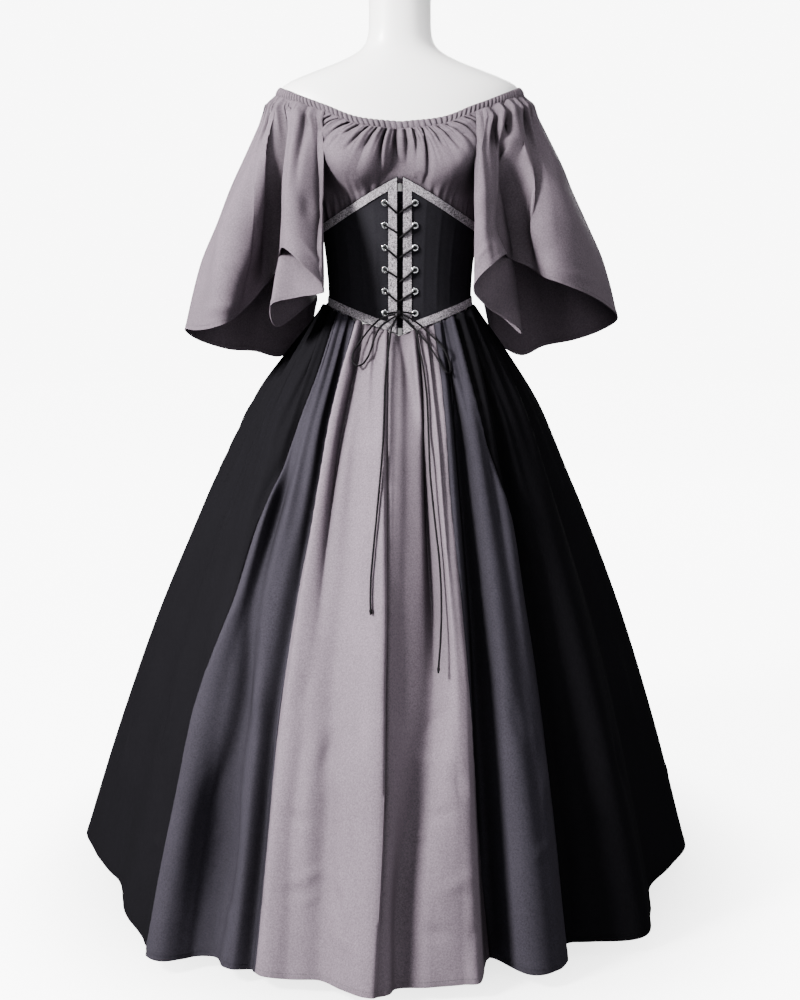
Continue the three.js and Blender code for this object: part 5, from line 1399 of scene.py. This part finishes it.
def braids():
    inset = TRIM_INSET / TRIM_BAND
    top, bottom = np.linspace(inset, 1, 15), np.linspace(2, 3 - inset, 15)
    for side, name in ((1, "left"), (-1, "right")):
        for place, band in (("top", top), ("bottom", bottom)):
            edge = FRONT_GAP + TRIM_INSET
            points = corset_grid(edge, CORSET_SIDE_DEG - SIDE_GAP_DEG, 250, band, TRIM_OUT) * (side, 1, 1)
            braid(f"braid_{place}_{name}", points, f"trim_{place}_{name}", True)
        x = np.linspace(FRONT_GAP + TRIM_INSET, FRONT_GAP + TRIM_BAND, 15)[None]
        share = np.linspace(0, 1, 220)[:, None]
        z = np.full((220, 15), 1120.0)
        for _ in range(3):
            deg = degrees_at(x, z, CORSET_OUT)
            z = mix(corset_top(deg) - TRIM_BAND - 0.3, corset_bottom(deg) + TRIM_BAND + 0.3, share)
        braid(f"braid_front_{name}", body_point(deg, z, TRIM_OUT) * (side, 1, 1), f"trim_front_{name}", False)
    deg = np.linspace(CORSET_SIDE_DEG + SIDE_GAP_DEG, 360 - CORSET_SIDE_DEG - SIDE_GAP_DEG, 330)[None]
    for place, band in (("top", top), ("bottom", bottom)):
        points = body_point(deg, corset_height(deg, band[:, None]), TRIM_OUT)
        braid(f"braid_{place}_back", points, f"trim_{place}_back", True)


def eyelets():
    face = CORSET_CLOTH / 2 + 0.8
    crest = mix(EYELET_HOLE, EYELET_OUTER, 0.45)
    arc = np.linspace(-0.15, math.pi, 10)
    roll = [(crest + 1.65 * math.cos(a), face + 0.15 + 0.95 * math.sin(a)) for a in arc]
    wall, rear = EYELET_HOLE + 0.5, -CORSET_CLOTH / 2
    profile = [(EYELET_HOLE, rear), (wall, rear), (wall, face), *roll]
    for side, name in ((1, "left"), (-1, "right")):
        for i, z in enumerate(EYELET_HEIGHTS):
            x = side * EYELET_X
            centre = front_point(x, CORSET_OUT, z)
            sideways = front_point(x + 4, CORSET_OUT, z) - front_point(x - 4, CORSET_OUT, z)
            down = front_point(x, CORSET_OUT, z - 5) - front_point(x, CORSET_OUT, z + 5)
            normal = np.cross(down, sideways)
            normal /= np.linalg.norm(normal)
            first = sideways / np.linalg.norm(sideways)
            turn = np.stack([first, np.cross(normal, first), normal], 1)
            number = f"{name}_{i + 1}"
            lathe(f"grommet_{number}", profile, EYELET, [f"eyelet_{number}"], 28, turn, centre)


corset_front(1, "left")
corset_front(-1, "right")
corset_back()
modesty_panel()
braids()
eyelets()


# The lace and its bow. Routes are in metres, from the knot outwards, as in the part's source
KNOT = (-0.002, -0.107, 1.026)
LOOP_LEFT = (
    (0.0043, -0.108, 1.024), (0.016, -0.112, 1.018), (0.0275, -0.1115, 1.011), (0.0445, -0.112, 0.997),
    (0.061, -0.124, 0.9815), (0.073, -0.132, 0.969), (0.0805, -0.134, 0.953), (0.0845, -0.143, 0.937),
    (0.0815, -0.151, 0.929), (0.072, -0.157, 0.938), (0.0605, -0.143, 0.956), (0.0473, -0.128, 0.975),
    (0.0305, -0.119, 0.994), (0.012, -0.1125, 1.011), (0.0024, -0.108, 1.0212),
)
LOOP_RIGHT = (
    (-0.0083, -0.108, 1.024), (-0.02, -0.109, 1.021), (-0.0374, -0.107, 1.0135),
    (-0.056, -0.1115, 0.994), (-0.0692, -0.127, 0.9765), (-0.078, -0.138, 0.9625),
    (-0.0795, -0.1475, 0.949), (-0.0721, -0.1525, 0.941), (-0.0621, -0.149, 0.944),
    (-0.054, -0.14, 0.955), (-0.049, -0.1315, 0.9665), (-0.043, -0.1185, 0.985), (-0.033, -0.11, 1.003),
    (-0.019, -0.1095, 1.014), (-0.0062, -0.108, 1.0214),
)
TAIL_LEFT = (
    (-0.0001, -0.1056, 1.0205), (0.007, -0.1074, 1.0155), (0.017, -0.1076, 1.008),
    (0.025, -0.1095, 0.9995), (0.029, -0.115, 0.99), (0.0337, -0.137, 0.963), (0.0386, -0.154, 0.941),
    (0.0417, -0.1705, 0.919), (0.0448, -0.1905, 0.888), (0.0463, -0.2155, 0.8495),
    (0.0476, -0.24, 0.8115), (0.0492, -0.2605, 0.7735), (0.0536, -0.2815, 0.728),
    (0.0583, -0.3005, 0.6855), (0.0625, -0.316, 0.6495), (0.0653, -0.334, 0.6075),
    (0.0658, -0.352, 0.568), (0.064, -0.3715, 0.527), (0.0615, -0.3845, 0.498), (0.0606, -0.39, 0.486),
    (0.0605, -0.393, 0.48),
)
TAIL_RIGHT = (
    (-0.0039, -0.1056, 1.0205), (-0.009, -0.1074, 1.013), (-0.0134, -0.1076, 1.004),
    (-0.0158, -0.11, 0.994), (-0.0172, -0.122, 0.9815), (-0.0203, -0.142, 0.958),
    (-0.0233, -0.164, 0.932), (-0.025, -0.186, 0.9045), (-0.0258, -0.207, 0.8735),
    (-0.0272, -0.2345, 0.832), (-0.031, -0.2665, 0.7825), (-0.0356, -0.29, 0.734),
    (-0.0394, -0.309, 0.695), (-0.043, -0.326, 0.659), (-0.046, -0.3415, 0.624),
    (-0.0468, -0.357, 0.5915), (-0.0462, -0.364, 0.577), (-0.0459, -0.367, 0.571),
)
# How the lace crosses from one eyelet to the next on the other side:
# from the middle, from the form, share of the fall
CROSSING = (
    (24, 10.9, 0.02), (9, 11, 0.32), (4.5, 10.3, 0.4), (1.5, 8, 0.46), (-1.2, 4.2, 0.53),
    (-4.8, 2.95, 0.6), (-23.4, 2.95, 0.98), (-25.9, 4.7, 1), (-25.5, 8, 1),
)
# The lace's start in the middle, behind the top eyelets: from the middle, from the form
FIRST_CROSSING = ((0.2, 2.95), (12, 2.95), (23.4, 2.95), (25.9, 4.7), (25.5, 8))
CORD_STEP = 1.5
LACE_SHOWN = 3.3
TIP_LENGTH = 5


def laid_on_cloth(path, radius):
    """The path, moved forwards where the skirt's folds would come through it."""
    cloth = np.concatenate(FRONT_CLOTH)
    cloth = cloth[(np.abs(cloth[:, 0]) < 130) & (cloth[:, 2] > path[:, 2].min() - 15)]
    path = path.copy()
    for point in path:
        away = np.hypot(cloth[:, 0] - point[0], (cloth[:, 2] - point[2]) * 0.6)
        near = away < 5
        if near.any():
            point[1] = min(point[1], cloth[near, 1].min() - radius - 0.2)
    window = np.hanning(15) / np.hanning(15).sum()
    softened = np.convolve(np.pad(path[:, 1], 7, mode="edge"), window, mode="valid")
    path[8:-8, 1] = np.minimum(path[8:-8, 1], softened[8:-8])
    return path


def free_cord(name, route, node, knotted):
    """A loop or a free end of the lace, with an overhand knot near the end of a free one."""
    path = laid_on_cloth(smooth_path(np.array(route) / MM, CORD_STEP), LACE_SHOWN / 2)
    travelled = distance_along(path)
    radius = np.full(len(path), LACE_SHOWN / 2)
    if knotted:
        at = travelled[-1] - TIP_LENGTH - 1.5
        swell = bell((travelled - at) / 2.6) * (0.85 + 0.15 * np.cos((travelled - at) * 2.4))
        radius = radius + (END_KNOT_RADIUS - LACE_SHOWN / 2 + 0.3) * swell
        radius[travelled > travelled[-1] - 1.2] *= 0.8
    piece = tube(name, path, radius, CORD, [node])


def lacing(name, side, node):
    """One lace, from the middle behind the top eyelets down to the knot."""
    first = EYELET_HEIGHTS[0]
    points = [
        front_point(side * x, out, first) for x, out in FIRST_CROSSING
    ]
    for i, (high, low) in enumerate(zip(EYELET_HEIGHTS, EYELET_HEIGHTS[1:])):
        over = -side if i % 2 else side
        turn = -1 if i % 2 else 1
        for x, out, fall in CROSSING:
            shift = over * CROSSING_SHIFT * min(max(2 - abs(fall - 0.5) * 5, 0), 1) * turn
            points.append(front_point(over * x, out, mix(high, low, fall) + shift))
    low = EYELET_HEIGHTS[-1]
    for x, out, z in ((24.2, 10.7, low - 0.5), (17, 11.8, low + 1)):
        points.append(front_point(-side * x, out, z))
    knot = np.array(KNOT) / MM
    points.append(knot + (-side * 6.6, 0, 1.6))
    tube(name, smooth_path(points, CORD_STEP), LACE_SHOWN / 2, CORD, [node])


def bow_knot():
    """The knot of the bow: a turn of cord over the two strands that it holds."""
    knot = np.array(KNOT) / MM
    angles = np.linspace(0, 3.4 * math.pi, 40)
    turn = np.stack(
        [-2.4 + 4.8 * angles / angles[-1], 3.5 * np.cos(angles) - 0.3, 3.4 * np.sin(angles)], -1
    )
    tube("bow_knot_turn", knot + turn, 1.35, CORD, ["bow_knot"], sides=10)
    strands = np.array([[-7.5, 0, 0.8], [-3.5, -0.6, 1.4], [0, -0.8, 0.6], [3.5, -0.6, -0.2], [7.2, 0, -1.2]])
    tube("bow_knot_strands", knot + smooth_path(strands, 1), 1.9, CORD, sides=10)


free_cord("lace_tail_left", TAIL_LEFT, "lace_end_left", True)
free_cord("lace_tail_right", TAIL_RIGHT, "lace_end_right", True)
free_cord("bow_left", LOOP_LEFT, "bow_loop_left", False)
free_cord("bow_right", LOOP_RIGHT, "bow_loop_right", False)
lacing("lacing_left", 1, "lace_from_left")
lacing("lacing_right", -1, "lace_from_right")
bow_knot()
